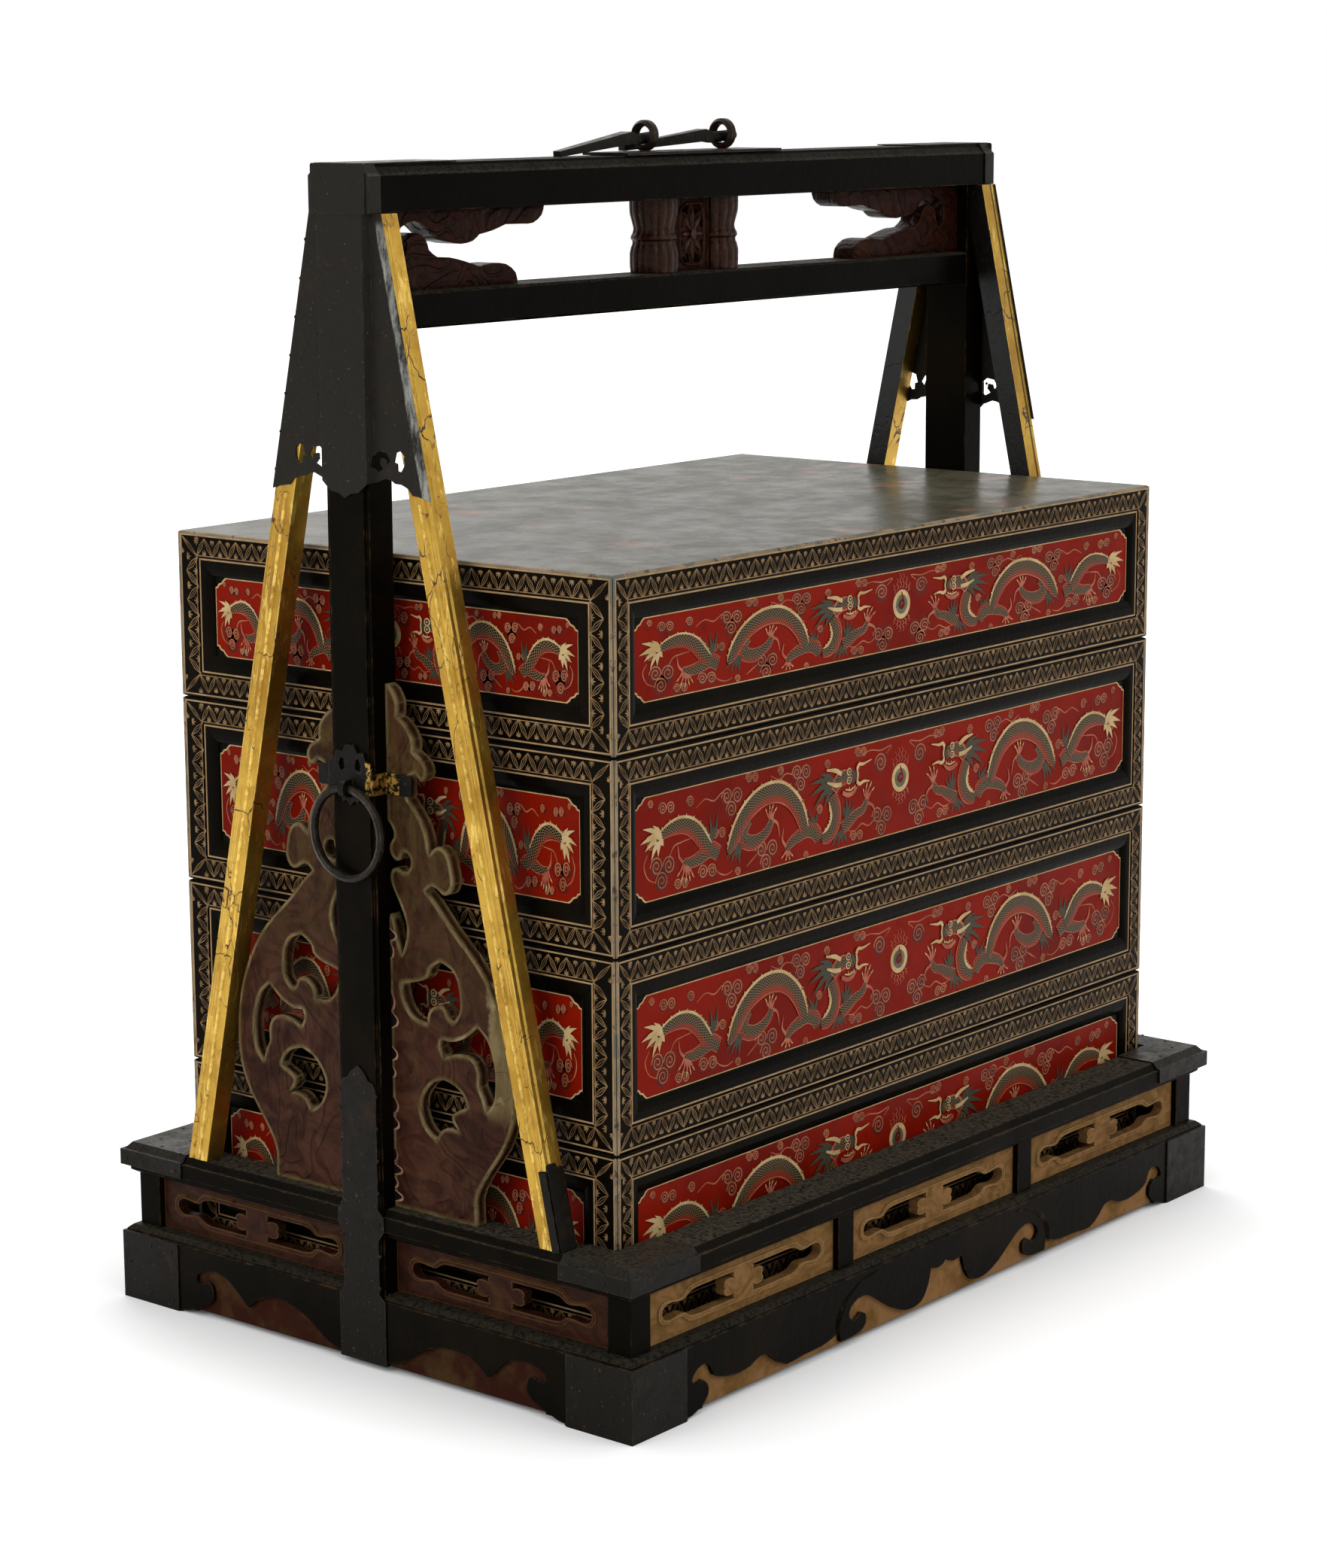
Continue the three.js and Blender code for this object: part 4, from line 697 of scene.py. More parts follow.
box_black = lacquer("box_black", dust=0.15, wear=0.3, gloss=0.2)
cove_black = lacquer("cove_black", dust=0.1, wear=0.1, gloss=0.16)
box_materials = [box_black, tan_edge(), cove_black, lid_painting_and_reflection()]
for node in BOXES:
    form = joined_copy(node)
    for face in form.faces:
        face.material_index = box_paint(face, node)
    finish_piece("box_" + node, form, box_materials, node, (node,))

# %% [markdown]
# ## Brush strokes
# All the painting is made of strokes: a small grid, bent along a smooth line through a few knots, as wide as
# the brush was pressed at each place, and a little domed like thick lacquer. Each stroke's UV map is in
# millimetres, along and across, so scales can follow a body however it bends.

# %% Strokes


def smooth_line(knots, widths, steps):
    """A smooth curve through the knots by the Catmull-Rom rule: its points, widths and directions."""
    knots = np.array(knots, float)
    ends = np.vstack([2 * knots[0] - knots[1], knots, 2 * knots[-1] - knots[-2]])
    line = []
    for place in np.linspace(0, len(knots) - 1, steps + 1):
        i = min(int(place), len(knots) - 2)
        t = place - i
        a, b, c, d = ends[i:i + 4]
        line.append(0.5 * (2 * b + (c - a) * t + (2 * a - 5 * b + 4 * c - d) * t ** 2
                           + (3 * b - a - 3 * c + d) * t ** 3))
    line = np.array(line)
    wide = np.interp(np.linspace(0, 1, steps + 1), np.linspace(0, 1, len(widths)), widths)
    run = np.gradient(line, axis=0)
    return line, wide, run / np.maximum(np.linalg.norm(run, axis=1), 1e-9)[:, None]


# Each stroke lies a hair above the one before, so none share a plane
LAYER = 0.018
LAYERS = itertools.cycle(range(13))


def lay_paint(verts, paint):
    """Give the faces round these corners a paint."""
    painted = {face for vert in verts for face in vert.link_faces}
    for face in painted:
        face.material_index = paint
    return painted


def stroke(form, knots, widths, paint, steps=10, lift=0.2, dome=0.25, across=2, belly=1):
    """Bend a grid along a line. Lengths are millimetres in the plane of the face."""
    lift += LAYER * next(LAYERS)
    line, wide, run = smooth_line(knots, widths, steps)
    arc = np.concatenate([[0], np.cumsum(np.linalg.norm(np.diff(line, axis=0), axis=1))])
    verts = bmesh.ops.create_grid(form, x_segments=steps, y_segments=across, size=1)["verts"]
    uv_layer = form.loops.layers.uv.verify()
    marks = {}
    for vert in verts:
        i = round((vert.co.x + 1) / 2 * steps)
        side = vert.co.y * wide[i] / 2
        marks[vert] = (arc[i], side * belly)
        rise = lift + dome * min(1.0, wide[i] / 3) * (1 - vert.co.y ** 2)
        vert.co = (line[i][0] - run[i][1] * side, line[i][1] + run[i][0] * side, rise)
    for face in lay_paint(verts, paint):
        for loop in face.loops:
            loop[uv_layer].uv = marks[loop.vert]


def disc(form, centre, radius, paint, lift=0.15, segments=18):
    """A flat painted disc."""
    verts = bmesh.ops.create_circle(form, cap_ends=True, segments=segments, radius=radius)["verts"]
    bmesh.ops.translate(form, verts=verts, vec=(centre[0], centre[1], lift))
    lay_paint(verts, paint)


print("stroke kit ready")

# %% [markdown]
# ## Paints of the picture
# Red lacquer for the sunk panels, cream and pink for the dragons, a grey-green for manes and a dull gold for the
# fine engraved lines. The scales are a net of two crossing sets of lines in the stroke's own UV, dark along the
# back and lighter at the belly.

# %% Paints
TAN, LINE, RED, CREAM, SCALES, MANE, CLOUD, CLOUD_DEEP, PEARL, PINK, CORNER = range(11)
SCALE_PERIOD, SCALE_SLANT = 3.6, 1.3
HAIR_WAVE = 7.0


def flat_paint(name, first, second, roughness=0.4, scale=60):
    f = Finish(name, roughness, 0.08)
    f.dress(f.mix(f.noise(scale, 4, 0.6).reach(0.35, 0.65), first, second))
    return f.material


def red_lacquer():
    f = Finish("red_lacquer", shine=0.03)
    f.dress(f.coats(srgb(148, 27, 7), f.noise(7, 4, 0.6).reach(0.35, 0.7), srgb(120, 20, 6),
                    f.noise(34, 5, 0.65).reach(0.58, 0.78) * 0.6, srgb(84, 22, 14)),
            f.noise(50, 4).reach(0.3, 0.8).scaled(0.2, 0.26))
    f.relief(f.noise(30, 4, 0.6), 0.0004)
    return f.material


def scale_paint():
    f = Finish("scale_paint", 0.42, 0.08)
    along, across = f.uv_axes()
    first, second = (abs((slanted * (1 / SCALE_PERIOD)).fraction() - 0.5).reach(0.40, 0.46)
                     for slanted in (along + across * SCALE_SLANT, along - across * SCALE_SLANT))
    belly = across.reach(0.5, 6.5)
    cell = f.mix(belly, srgb(20, 17, 14), srgb(138, 30, 17))
    rim = f.mix(belly, srgb(166, 136, 96), srgb(186, 98, 58))
    f.dress(f.mix(first.most(second), cell, rim))
    return f.material


def mane_paint():
    f = Finish("mane_paint", 0.45, 0.08)
    hair = (f.uv_axes()[1] * HAIR_WAVE).sine().reach(0.2, 0.9)
    f.dress(f.mix(hair, srgb(44, 43, 34), srgb(112, 104, 82)))
    return f.material


paints = [
    flat_paint("tan_line", srgb(194, 160, 118), srgb(166, 136, 96)),
    flat_paint("engraved_gold", srgb(172, 138, 96), srgb(124, 96, 64), 0.42, 90),
    red_lacquer(),
    flat_paint("cream_paint", srgb(226, 196, 144), srgb(202, 166, 112)),
    scale_paint(),
    mane_paint(),
    flat_paint("cloud_line", srgb(196, 124, 88), srgb(166, 92, 62)),
    flat_paint("cloud_wash", srgb(112, 26, 16), srgb(86, 24, 16)),
    flat_paint("pearl_grey", srgb(120, 118, 96), srgb(84, 84, 70)),
    flat_paint("pink_line", srgb(198, 118, 92), srgb(170, 86, 66)),
    box_materials[1],
]
print("paints:", [p.name for p in paints])

# %% [markdown]
# ## Dragon, pearl and clouds
# The motif is a traditional one: two dragons face a flaming pearl among clouds. One dragon is drawn facing right,
# in millimetres from the panel's middle, and its twin is the same drawing turned over. Body first, then crest,
# limbs, claws, mane and head, each a handful of strokes.

# %% The dragon's lines
# Each body is (knots, widths), drawn from tail to head, with its ridge on the right of the way it runs
BODIES = [
    ([(345, 5), (331, 10), (316, 12), (303, 10), (292, 4), (284, -4), (274, -13)], (4, 9, 12, 13, 14, 14, 11)),
    ([(250, -19), (244, -12), (238, -4), (227, 7), (212, 15), (196, 19), (178, 18), (163, 11), (152, 1), (146, -9),
      (142, -18)], (5, 11, 14, 15, 16, 16, 16, 15, 15, 13, 10)),
    ([(118, -28), (108, -26), (100, -20), (97, -11), (99, -3), (103, 5)], (8, 12, 14, 14, 14, 12)),
]
# Each limb is (knots, widths), the tips of its claws and the knots of its spur
LIMBS = [
    ([(262, -17), (273, -12), (286, -16), (298, -18), (309, -17)], (11, 12, 10, 8, 5),
     [(296, -30), (301, -32), (307, -33), (313, -31), (318, -26)], [(309, -17), (315, -12), (317, -3)]),
    ([(221, 3), (229, -5), (226, -13), (214, -16), (202, -13), (193, -8), (189, -2)], (9, 11, 12, 11, 8, 7, 5),
     [(182, 7), (187, 10), (192, 10), (198, 8)], [(189, -2), (181, -6), (178, -17)]),
    ([(122, -28), (126, -21), (137, -17), (150, -20), (162, -24), (168, -29)], (9, 12, 12, 9, 7, 5),
     [(159, -35), (164, -37), (170, -37), (176, -34)], [(167, -27), (174, -20), (172, -11)]),
    ([(88, -24), (77, -20), (66, -15), (57, -13), (50, -6)], (10, 9, 7, 6, 5),
     [(40, 3), (44, 8), (51, 8), (57, 4)], [(51, -8), (42, -12), (39, -19)]),
]
# Each tuft is a root and the tips of its hairs
TUFTS = [
    ((274, -9), [(264, 14), (269, 7), (275, 13), (280, 4), (284, 9)]),
    ((230, -14), [(234, -31), (240, -27), (247, -29), (254, -24)]),
    ((130, -18), [(124, -4), (130, -6), (137, -2), (139, -9)]),
    ((84, -16), [(70, -6), (76, -2), (82, 0), (88, -5)]),
    ((84, -24), [(80, -36), (88, -36), (95, -39), (104, -37)]),
]
MANE_ENDS = [(112, 20), (122, 24), (120, 16), (136, 18), (126, 11), (136, 8), (122, 4), (130, -2), (115, -3),
             (110, 4)]
TAIL_FLAMES = [(350, 17), (363, 16), (358, 9), (366, 5), (360, -1), (352, -9), (343, -7), (336, 0)]


def dragon(form, place, flip, thick=1.0):
    """Paint one dragon. place turns a drawn point into one on the face, and flip is -1 for the mirrored twin."""
    def line(knots, widths, paint, steps, lift=0.3, dome=0.2, across=1):
        wide = [w * thick for w in widths]
        stroke(form, [place(p) for p in knots], wide, paint, steps, lift, dome, across, flip)

    def hair(root, tip, paint=MANE, lift=0.35, width=3.4):
        bend = 0.18 * (tip[0] - root[0])
        middle = ((root[0] + tip[0]) / 2 - 0.12 * (tip[1] - root[1]), (root[1] + tip[1]) / 2 + bend * 0.5)
        line([root, middle, tip], (width * 0.7, width, 0.3), paint, 5, lift)

    for root, tips in TUFTS:
        for tip in tips:
            hair(root, tip)
    for knots, widths, claws, spur in LIMBS:
        line(knots, [w + 1.6 for w in widths], PINK, 12, 0.25, 0.1)
        line(knots, widths, SCALES, 12, 0.4, 0.3, 2)
        foot = knots[-1]
        for tip in claws:
            middle = ((foot[0] + tip[0]) / 2 + 0.15 * (tip[1] - foot[1]), (foot[1] + tip[1]) / 2)
            line([foot, middle, tip], (2.6, 2.2, 0.5), PINK, 4, 0.45)
            line([((middle[0] + tip[0]) / 2, (middle[1] + tip[1]) / 2), tip], (1.6, 0.5), CREAM, 1, 0.6)
        line(spur, (3, 2.2, 0.6), PINK, 6, 0.5)
    for knots, widths in BODIES:
        body(line, knots, widths)
    for tip in TAIL_FLAMES:
        hair((339, 6), tip, CREAM, 0.9, 4.6)
    head(line, hair, form, place)


def body(line, knots, widths):
    """A scaled length of body with a cream ridge and its small fins, and a thin belly line."""
    steps = 6 * (len(knots) - 1)  # six faces between one knot and the next
    line(knots, widths, SCALES, steps, 0.5, 0.4, 4)
    path, wide, run = smooth_line(knots, widths, steps)
    side = np.stack([run[:, 1], -run[:, 0]], axis=1)
    ridge = path + side * (wide / 2)[:, None]
    belly = path - side * (wide / 2)[:, None]
    line(ridge[1:-1:2], [0.6] + [2.6] * 6 + [0.6], CREAM, steps, 0.8, 0.2)
    line(belly[1:-1:2], (0.5, 1.1, 1.1, 0.5), PINK, steps, 0.7, 0.1)
    for i in range(4, steps - 3, 4):
        line([ridge[i] - run[i] * 0.6, ridge[i] + side[i] * 2.6], (2.2, 0.4), CREAM, 1, 0.8)


def head(line, hair, form, place):
    """Mane, skull, snout, jaw, horns, whiskers and eyes, seen from above as the old painters drew it."""
    for end in MANE_ENDS:
        hair((97, 12), end, MANE, 0.8, 5)
    line([(101, 8), (94, 15), (84, 17), (73, 16)], (10, 13, 13, 9), PINK, 8, 0.9, 0.3, 2)
    line([(100, 9), (93, 15), (84, 17), (75, 16)], (7, 10, 10, 6), SCALES, 8, 1.1, 0.3, 2)
    line([(74, 21), (70, 16), (73, 11)], (3, 5, 3), MANE, 6, 1.3)
    line([(88, 5), (80, 2), (72, 3), (66, 7)], (3.4, 4, 3.4, 1), PINK, 7, 1.0)
    line([(84, 7), (76, 5.5), (69, 8)], (1, 1.6, 0.6), CREAM, 5, 1.2)
    for tip in ((78, 8.5), (74, 8), (70, 9)):
        line([(tip[0] + 0.4, 6), tip], (1.4, 0.4), CREAM, 1, 1.3)
    for knots in ([(90, 20), (99, 24), (112, 26)], [(90, 12), (99, 12.5), (111, 16)]):
        line(knots, (3.6, 3.8, 1.6), CREAM, 6, 1.4)
    line([(67, 21), (64, 24.5), (58, 24), (46, 26)], (3, 3.2, 2.4, 0.7), CREAM, 8, 1.4)
    line([(67, 11), (63, 8.5), (57, 10), (48, 9)], (3, 3.2, 2.4, 0.7), CREAM, 8, 1.4)
    line([(67, 21), (65.5, 16), (67, 11)], (1.6, 2, 1.6), CREAM, 5, 1.4)
    for rise in (20.5, 13.5):
        disc(form, place((79, rise)), 3.5, CREAM, 1.6, 14)
        disc(form, place((78.6, rise)), 2.3, MANE, 1.7, 12)
        disc(form, place((78.6, rise)), 1.0, CREAM, 1.8, 8)


print("dragon:", len(BODIES), "lengths of body,", len(LIMBS), "limbs")

# %% Pearl and clouds
# Each cloud is its place along and up, the size of a lobe and the number of lobes
CLOUDS = [(30, 21, 9, 1), (147, 26, 7, 3), (244, 21, 7.5, 3), (337, -19, 8.5, 3), (196, -27, 8, 3),
          (277, -29, 6.5, 2), (28, -25, 8, 3), (331, 27, 5.5, 2), (152, -2, 5, 1), (109, 30, 4.4, 1),
          (300, 28, 5, 1), (66, -33, 5, 2), (60, 33, 4.6, 2), (176, 34, 4.4, 1), (216, 34, 4.6, 2), (262, -2, 5, 2),
          (312, -33, 5, 2), (140, -37, 3.6, 1), (236, -35, 4, 1), (352, 33, 3.6, 1), (352, 2, 4.4, 1),
          (120, -4, 4.4, 1)]
RIBBONS = [[(36, -22), (48, -27), (58, -24), (68, -28), (78, -27)], [(156, 28), (168, 31), (178, 28), (190, 32)],
           [(252, 20), (256, 29), (268, 24), (280, 27), (292, 22)], [(329, -12), (322, -3), (312, -1), (300, 0)],
           [(206, -24), (216, -29), (224, -33)], [(270, -25), (262, -32), (252, -35), (243, -33)],
           [(22, 27), (14, 33), (30, 31), (46, 33), (62, 30)], [(345, -27), (356, -22), (361, -12), (356, -4)]]
LOBES = {1: [(0, 0)], 2: [(-0.95, 0), (0.95, 0.15)], 3: [(-1.0, 0.35), (0.9, 0.5), (0.1, -0.9)]}


def coil(form, place, centre, radius, flip):
    """A spiral lobe over a darker wash."""
    disc(form, place(centre), radius * 1.02, CLOUD_DEEP, 0.12, 14)
    turns = []
    for i in range(17):
        angle = i * 0.78
        reach = radius * (1.0 - 0.055 * i)
        turns.append(place((centre[0] + reach * math.cos(angle), centre[1] + reach * math.sin(angle) * 0.9)))
    stroke(form, turns, (1.2, 1.1, 0.8), CLOUD, 32, 0.18, 0.1, 1, flip)


def clouds(form, place, flip, thick):
    for along, rise, size, lobes in CLOUDS:
        for dx, dy in LOBES[lobes]:
            coil(form, place, (along + dx * size, rise + dy * size), size * thick, flip)
    for knots in RIBBONS:
        stroke(form, [place(p) for p in knots], (0.6, 1.3, 0.6), CLOUD, 16, 0.18, 0.1, 1, flip)


def pearl(form, place):
    """The pearl: a cream ring that fades to a grey heart with a red comma, and thin flames."""
    x, y = place((0, 5))
    for radius, paint, lift in ((13, CREAM, 0.3), (8.6, PEARL, 0.4), (4.6, CLOUD_DEEP, 0.5)):
        disc(form, (x, y), radius, paint, lift, 32)
    turn = [(x + r * math.cos(a), y + r * math.sin(a))
            for r, a in ((11, 1.6), (6, 1.3), (3.4, 0.4), (3.0, -1.2), (3.6, -2.4), (4.4, -3.4))]
    stroke(form, turn, (1.0, 1.8, 2.4, 2.6, 1.8, 0.6), RED, 16, 0.6)
    stroke(form, [(x - 2, y - 1), (x, y + 1.6), (x + 1.6, y)], (0.6, 1.6, 0.6), PEARL, 5, 0.7)
    for dx in (-10, -6, -2, 2, 6, 10):
        for sign, high in ((1, 15), (-1, 11)):
            rim = sign * math.sqrt(14.5 ** 2 - dx ** 2)
            wave = [(x + dx * (1 + 0.05 * k) + (1.6 if k % 2 else -1.0),
                     y + rim + sign * high * k / 4 * (1 - abs(dx) / 22)) for k in range(5)]
            stroke(form, wave, (0.9, 0.9, 0.4), PINK, 10, 0.2, 0.1, 1)


print("clouds on each half:", len(CLOUDS))

# %% [markdown]
# ## Diaper band
# Round every face runs a band of leaves: two lens shapes lean together to a zigzag, and a small palmette fills
# each triangle. One period is built as a tile of a few dozen faces, and its copies fill the band.

# %% Band tile
PERIOD = 20.0
UPRIGHT_PERIOD = 24.0
TILE_HEIGHT = 16.0


def lens_shape(form, start, end, bulge):
    """A leaf: two bowed outlines and a rib."""
    (x0, y0), (x1, y1) = start, end
    length = math.hypot(x1 - x0, y1 - y0)
    side = ((y0 - y1) / length, (x1 - x0) / length)
    for bow in (-bulge, 0.0, bulge):
        middle = ((x0 + x1) / 2 + side[0] * bow, (y0 + y1) / 2 + side[1] * bow)
        width = 0.55 if bow else 0.4
        stroke(form, [start, middle, end], (width, width), LINE, 4, 0.12, 0.06, 1)


def palmette(form, centre, up):
    """Five small leaves that fan from a point."""
    for angle in (-1.1, -0.55, 0.0, 0.55, 1.1):
        length = 5.4 - 2.0 * abs(angle)
        tip = (centre[0] + length * math.sin(angle), centre[1] + up * length * math.cos(angle))
        middle = ((centre[0] + tip[0]) / 2, (centre[1] + tip[1]) / 2)
        stroke(form, [centre, middle, tip], (0.35, 1.25, 0.3), LINE, 2, 0.12, 0.06, 1)


def lay(form, mesh, matrix):
    """Add a copy of a mesh to a form, moved by a matrix."""
    before = set(form.verts)
    form.from_mesh(mesh)
    bmesh.ops.transform(form, matrix=matrix, verts=[v for v in form.verts if v not in before])


def pour(whole, form, matrix):
    """Move a form by a matrix and add it to another. The form is used up."""
    mesh = as_mesh(form, "part")
    lay(whole, mesh, matrix)
    bpy.data.meshes.remove(mesh)


def lay_band(form, start, end, up, period=PERIOD):
    """Fill a straight stretch with whole tiles. up is the direction of a tile's top."""
    start, end, up = Vector(start), Vector(end), Vector(up)
    count = max(1, round((end - start).length / period))
    step = (end - start) / count
    along = step / PERIOD
    for i in range(count):
        middle = start + step * (i + 0.5)
        lay(form, tile, Matrix(((along.x, up.x, 0, middle.x), (along.y, up.y, 0, middle.y),
                                (0, 0, 1, 0), (0, 0, 0, 1))))


def corner_leaves(form, half, up, ends, ups):
    """A leaf across each corner of the band, with a palmette on either side."""
    for sx in (1, -1):
        for sy in (1, -1):
            outer = (sx * (half - 5.0), sy * (up - 4.6))
            inner = (sx * (half - ends + 0.5), sy * (up - ups + 0.5))
            lens_shape(form, outer, inner, 1.8)
            palmette(form, (inner[0], outer[1]), -sy)
            palmette(form, (outer[0], inner[1] + sy * 2), sy)


tile_form = bmesh.new()
lens_shape(tile_form, (-PERIOD / 2, -TILE_HEIGHT / 2), (0, TILE_HEIGHT / 2), 2.0)
lens_shape(tile_form, (0, TILE_HEIGHT / 2), (PERIOD / 2, -TILE_HEIGHT / 2), 2.0)
palmette(tile_form, (0, 1.2 - TILE_HEIGHT / 2), 1)
palmette(tile_form, (-PERIOD / 2, TILE_HEIGHT / 2 - 1.2), -1)
tile = as_mesh(tile_form, "band_tile")
print("band tile:", len(tile.polygons), "faces")

# %% [markdown]
# ## One painted face
# A whole face is put together in millimetres from its middle: tan rim, band, fine lines, cusped red panel with a
# cream outline, clouds, dragons and pearl. Each of the four different faces (long and short, tier and lid) is
# built once, and turned copies serve every side.

# %% Painted face
DRAWN_HALF = (372.0, 37.0)  # half size of the red panel that the dragons, clouds and pearl were drawn for
CORNER_STEPS = ((0, 9.5), (3.2, 8.6), (4.4, 6.2), (8.4, 4.8), (10.2, 2.4), (13.6, 0))


def strip(form, start, end, width, paint, lift=0.06, dome=0.04, steps=6):
    middle = ((start[0] + end[0]) / 2, (start[1] + end[1]) / 2)
    stroke(form, [start, middle, end], (width, width), paint, steps, lift, dome, 1)


def frame_lines(form, half, up, inset_end, inset_up, width, paint):
    """Four strips round a face, their outer edge the given insets from its edge."""
    x = half - inset_end - width / 2
    y = up - inset_up - width / 2
    for sign in (1, -1):
        strip(form, (-x - width / 2, sign * y), (x + width / 2, sign * y), width, paint)
    for sign in (-1, 1):
        strip(form, (sign * x, -y), (sign * x, y), width, paint)


def red_field(form, half, up):
    """A flat red field with stepped, hollow corners: a disc whose rim is laid on the outline."""
    outline = [(sx * (half - dx), sy * (up - dy)) for sx in (1, -1) for sy in (1, -1) for dx, dy in CORNER_STEPS]
    outline.sort(key=lambda p: math.atan2(p[1] / up, p[0] / half))
    verts = bmesh.ops.create_circle(form, cap_ends=True, segments=len(outline), radius=1)["verts"]
    for vert, point in zip(sorted(verts, key=lambda v: math.atan2(v.co.y, v.co.x)), outline):
        vert.co = (*point, 0.05)
    lay_paint(verts, RED)
    for a, b in zip(outline, outline[1:] + outline[:1]):
        strip(form, a, b, 1.5, CREAM, 0.12, 0.1, 2)


def painted_face(kind, tall):
    """The painting of one face, in metres: its frame, the lines on the step and the sunk panel."""
    half = (HALF_LENGTH if kind == "long" else HALF_DEPTH) / MM
    up = tall / 2
    ends, ups = BORDER[kind]
    rim, lines, sunk, whole = (bmesh.new() for _ in range(4))
    frame_lines(rim, half, up, 2.8, 2.4, 1.4, TAN)
    for x in (-half + 1.5, half - 1.5):
        strip(rim, (x, -up + 1.2), (x, up - 1.2), 2.6, CORNER, 0.1)
    band_end = ends - 5.2 if kind == "long" else ends - 9
    y = up - ups + 8.6
    x = half - ends + band_end / 2 - 0.6
    lay_band(rim, (-half + ends - 1, y), (half - ends + 1, y), (0, 1))
    lay_band(rim, (half - ends + 1, -y), (-half + ends - 1, -y), (0, -1))
    for sign in (1, -1):
        lay_band(rim, (sign * x, sign * (ups - up)), (sign * x, sign * (up - ups)),
                 (sign * band_end / TILE_HEIGHT, 0), UPRIGHT_PERIOD)
    corner_leaves(rim, half, up, ends, ups)
    frame_lines(rim, half, up, ends - 1.6, ups - 1.6, 0.8, LINE)
    frame_lines(lines, half, up, ends + 1.1, ups + 1.1, 1.5, TAN)
    panel_half = half - (ends + FLAT + COVE[kind][0])
    panel_up = up - (ups + FLAT + COVE[kind][1])
    red_field(sunk, panel_half, panel_up)
    squeeze, grow = panel_half / DRAWN_HALF[0], panel_up / DRAWN_HALF[1]
    thick = 1.0 if kind == "long" else 0.8
    for flip in (1, -1):
        def place(p, flip=flip):
            return flip * p[0] * squeeze, p[1] * grow * 0.94
        clouds(sunk, place, flip, thick)
        dragon(sunk, place, flip, thick * (0.5 + 0.5 * grow))
    pearl(sunk, lambda p: (p[0], p[1] * grow * 0.94))
    for form, depth in ((rim, 0.0), (lines, -STEP), (sunk, -SUNK)):
        pour(whole, form, IN_MM @ Matrix.Translation((0, 0, depth)))
    return as_mesh(whole, "face_" + kind)


tier_tall = (box_span("tier_upper")[1] - box_span("tier_upper")[0]) / MM
lid_tall = (box_span("lid")[1] - box_span("lid")[0]) / MM
faces = {(kind, tall): painted_face(kind, tall) for kind in ("long", "short") for tall in (tier_tall, lid_tall)}
for key, mesh in faces.items():
    print(key, len(mesh.polygons), "faces")

# %% Lay the paintings on the boxes
for node in BOXES:
    form = bmesh.new()
    for side in TURNS:
        face = faces[side_kind(side), lid_tall if node == "lid" else tier_tall]
        lay(form, face, side_frame(side, sum(box_span(node)) / 2))
    finish_piece("painting_" + node, form, paints, node)

# %% [markdown]
# ## Beads and straps of the struts
# Each strut carries a half-round bead down the middle of its outer face. It is one long stroke in the plane of
# the face, so it follows the lean exactly. At each end a black iron strap wraps the foot of one strut: three thin
# plates, one on the strut's edge, one over it and one folded onto its face, their upper edges rounded.

# %% Beads and straps
ENDS = ("left", "right")
BEAD_HEIGHTS = (0.1463, 0.35, 0.55, 0.755)
BEAD_INSET, BEAD_WIDTH, BEAD_DOME = 12.5, 3.8, 1.9
STRUT_FACE = 0.442  # distance of the struts' outer faces from the middle
# Each plate of a strap has a size, how far out of the strut's edge it lies and how far along the chest
STRAP_PLATES = (((20.4, 1.2, 70), 0.6, 0.0), ((12.6, 1.2, 74), 0.7, 3.9), ((1.2, 8.0, 69), -3.9, 10.6))


def strut_edge(height):
    """Distance of a strut's outer edge from the middle, in metres."""
    return STRUT_FOOT[0] - STRUT_LEAN * (height - STRUT_FOOT[1])


def plate(form, middle, axes, size, radius, chosen):
    """A box of some millimetres, with the edges that chosen picks by their two ends rounded."""
    shape = Matrix.Translation(middle) @ axes @ Matrix.Diagonal([s * MM for s in size] + [1])
    corners = bmesh.ops.create_cube(form, size=1, matrix=shape)["verts"]
    rounded = {e for v in corners for e in v.link_edges if chosen(*(end.co for end in e.verts))}
    bmesh.ops.bevel(form, geom=list(rounded), offset=radius * MM, offset_type="OFFSET", segments=3, profile=0.5,
                    affect="EDGES", material=-1)


for end in ENDS:
    whole = bmesh.new()
    for hand in (1, -1):
        bead = bmesh.new()
        knots = [(hand * (strut_edge(z) / MM - BEAD_INSET), z / MM) for z in BEAD_HEIGHTS]
        stroke(bead, knots, (BEAD_WIDTH, BEAD_WIDTH), 0, 30, -0.3, BEAD_DOME, 4)
        pour(whole, bead, upright_plane(end, STRUT_FACE) @ IN_MM)
    finish_piece("strut_beads_" + end, whole, [gilt_bead], "frame")

lean = math.atan(STRUT_LEAN)
straps = bmesh.new()
for hand in (-1, 1):  # the strut on the right as one faces each end
    outward = Vector((0, hand * math.cos(lean), math.sin(lean)))
    along = Vector((0, -hand * math.sin(lean), math.cos(lean)))
    axes = Matrix((Vector((1, 0, 0)), outward, along)).transposed().to_4x4()
    foot = Vector((hand * 0.4319, hand * STRUT_FOOT[0], STRUT_FOOT[1] + 0.0003))
    for size, out, across in STRAP_PLATES:
        middle = foot + (along * size[2] / 2 + outward * out + Vector((hand * across, 0, 0))) * MM
        plate(straps, middle, axes, size, 3, lambda a, b: (
            abs((a - b).normalized().dot(outward)) > 0.99 and (a - middle).dot(along) > 0))
finish_piece("strut_straps", straps, [dark_iron], "frame")

# %% [markdown]
# ## Caps of the beam
# The sheet over each end of the beam has square corners that stand a little in front of the moulding. Each is a
# thin plate with its edges hammered round.

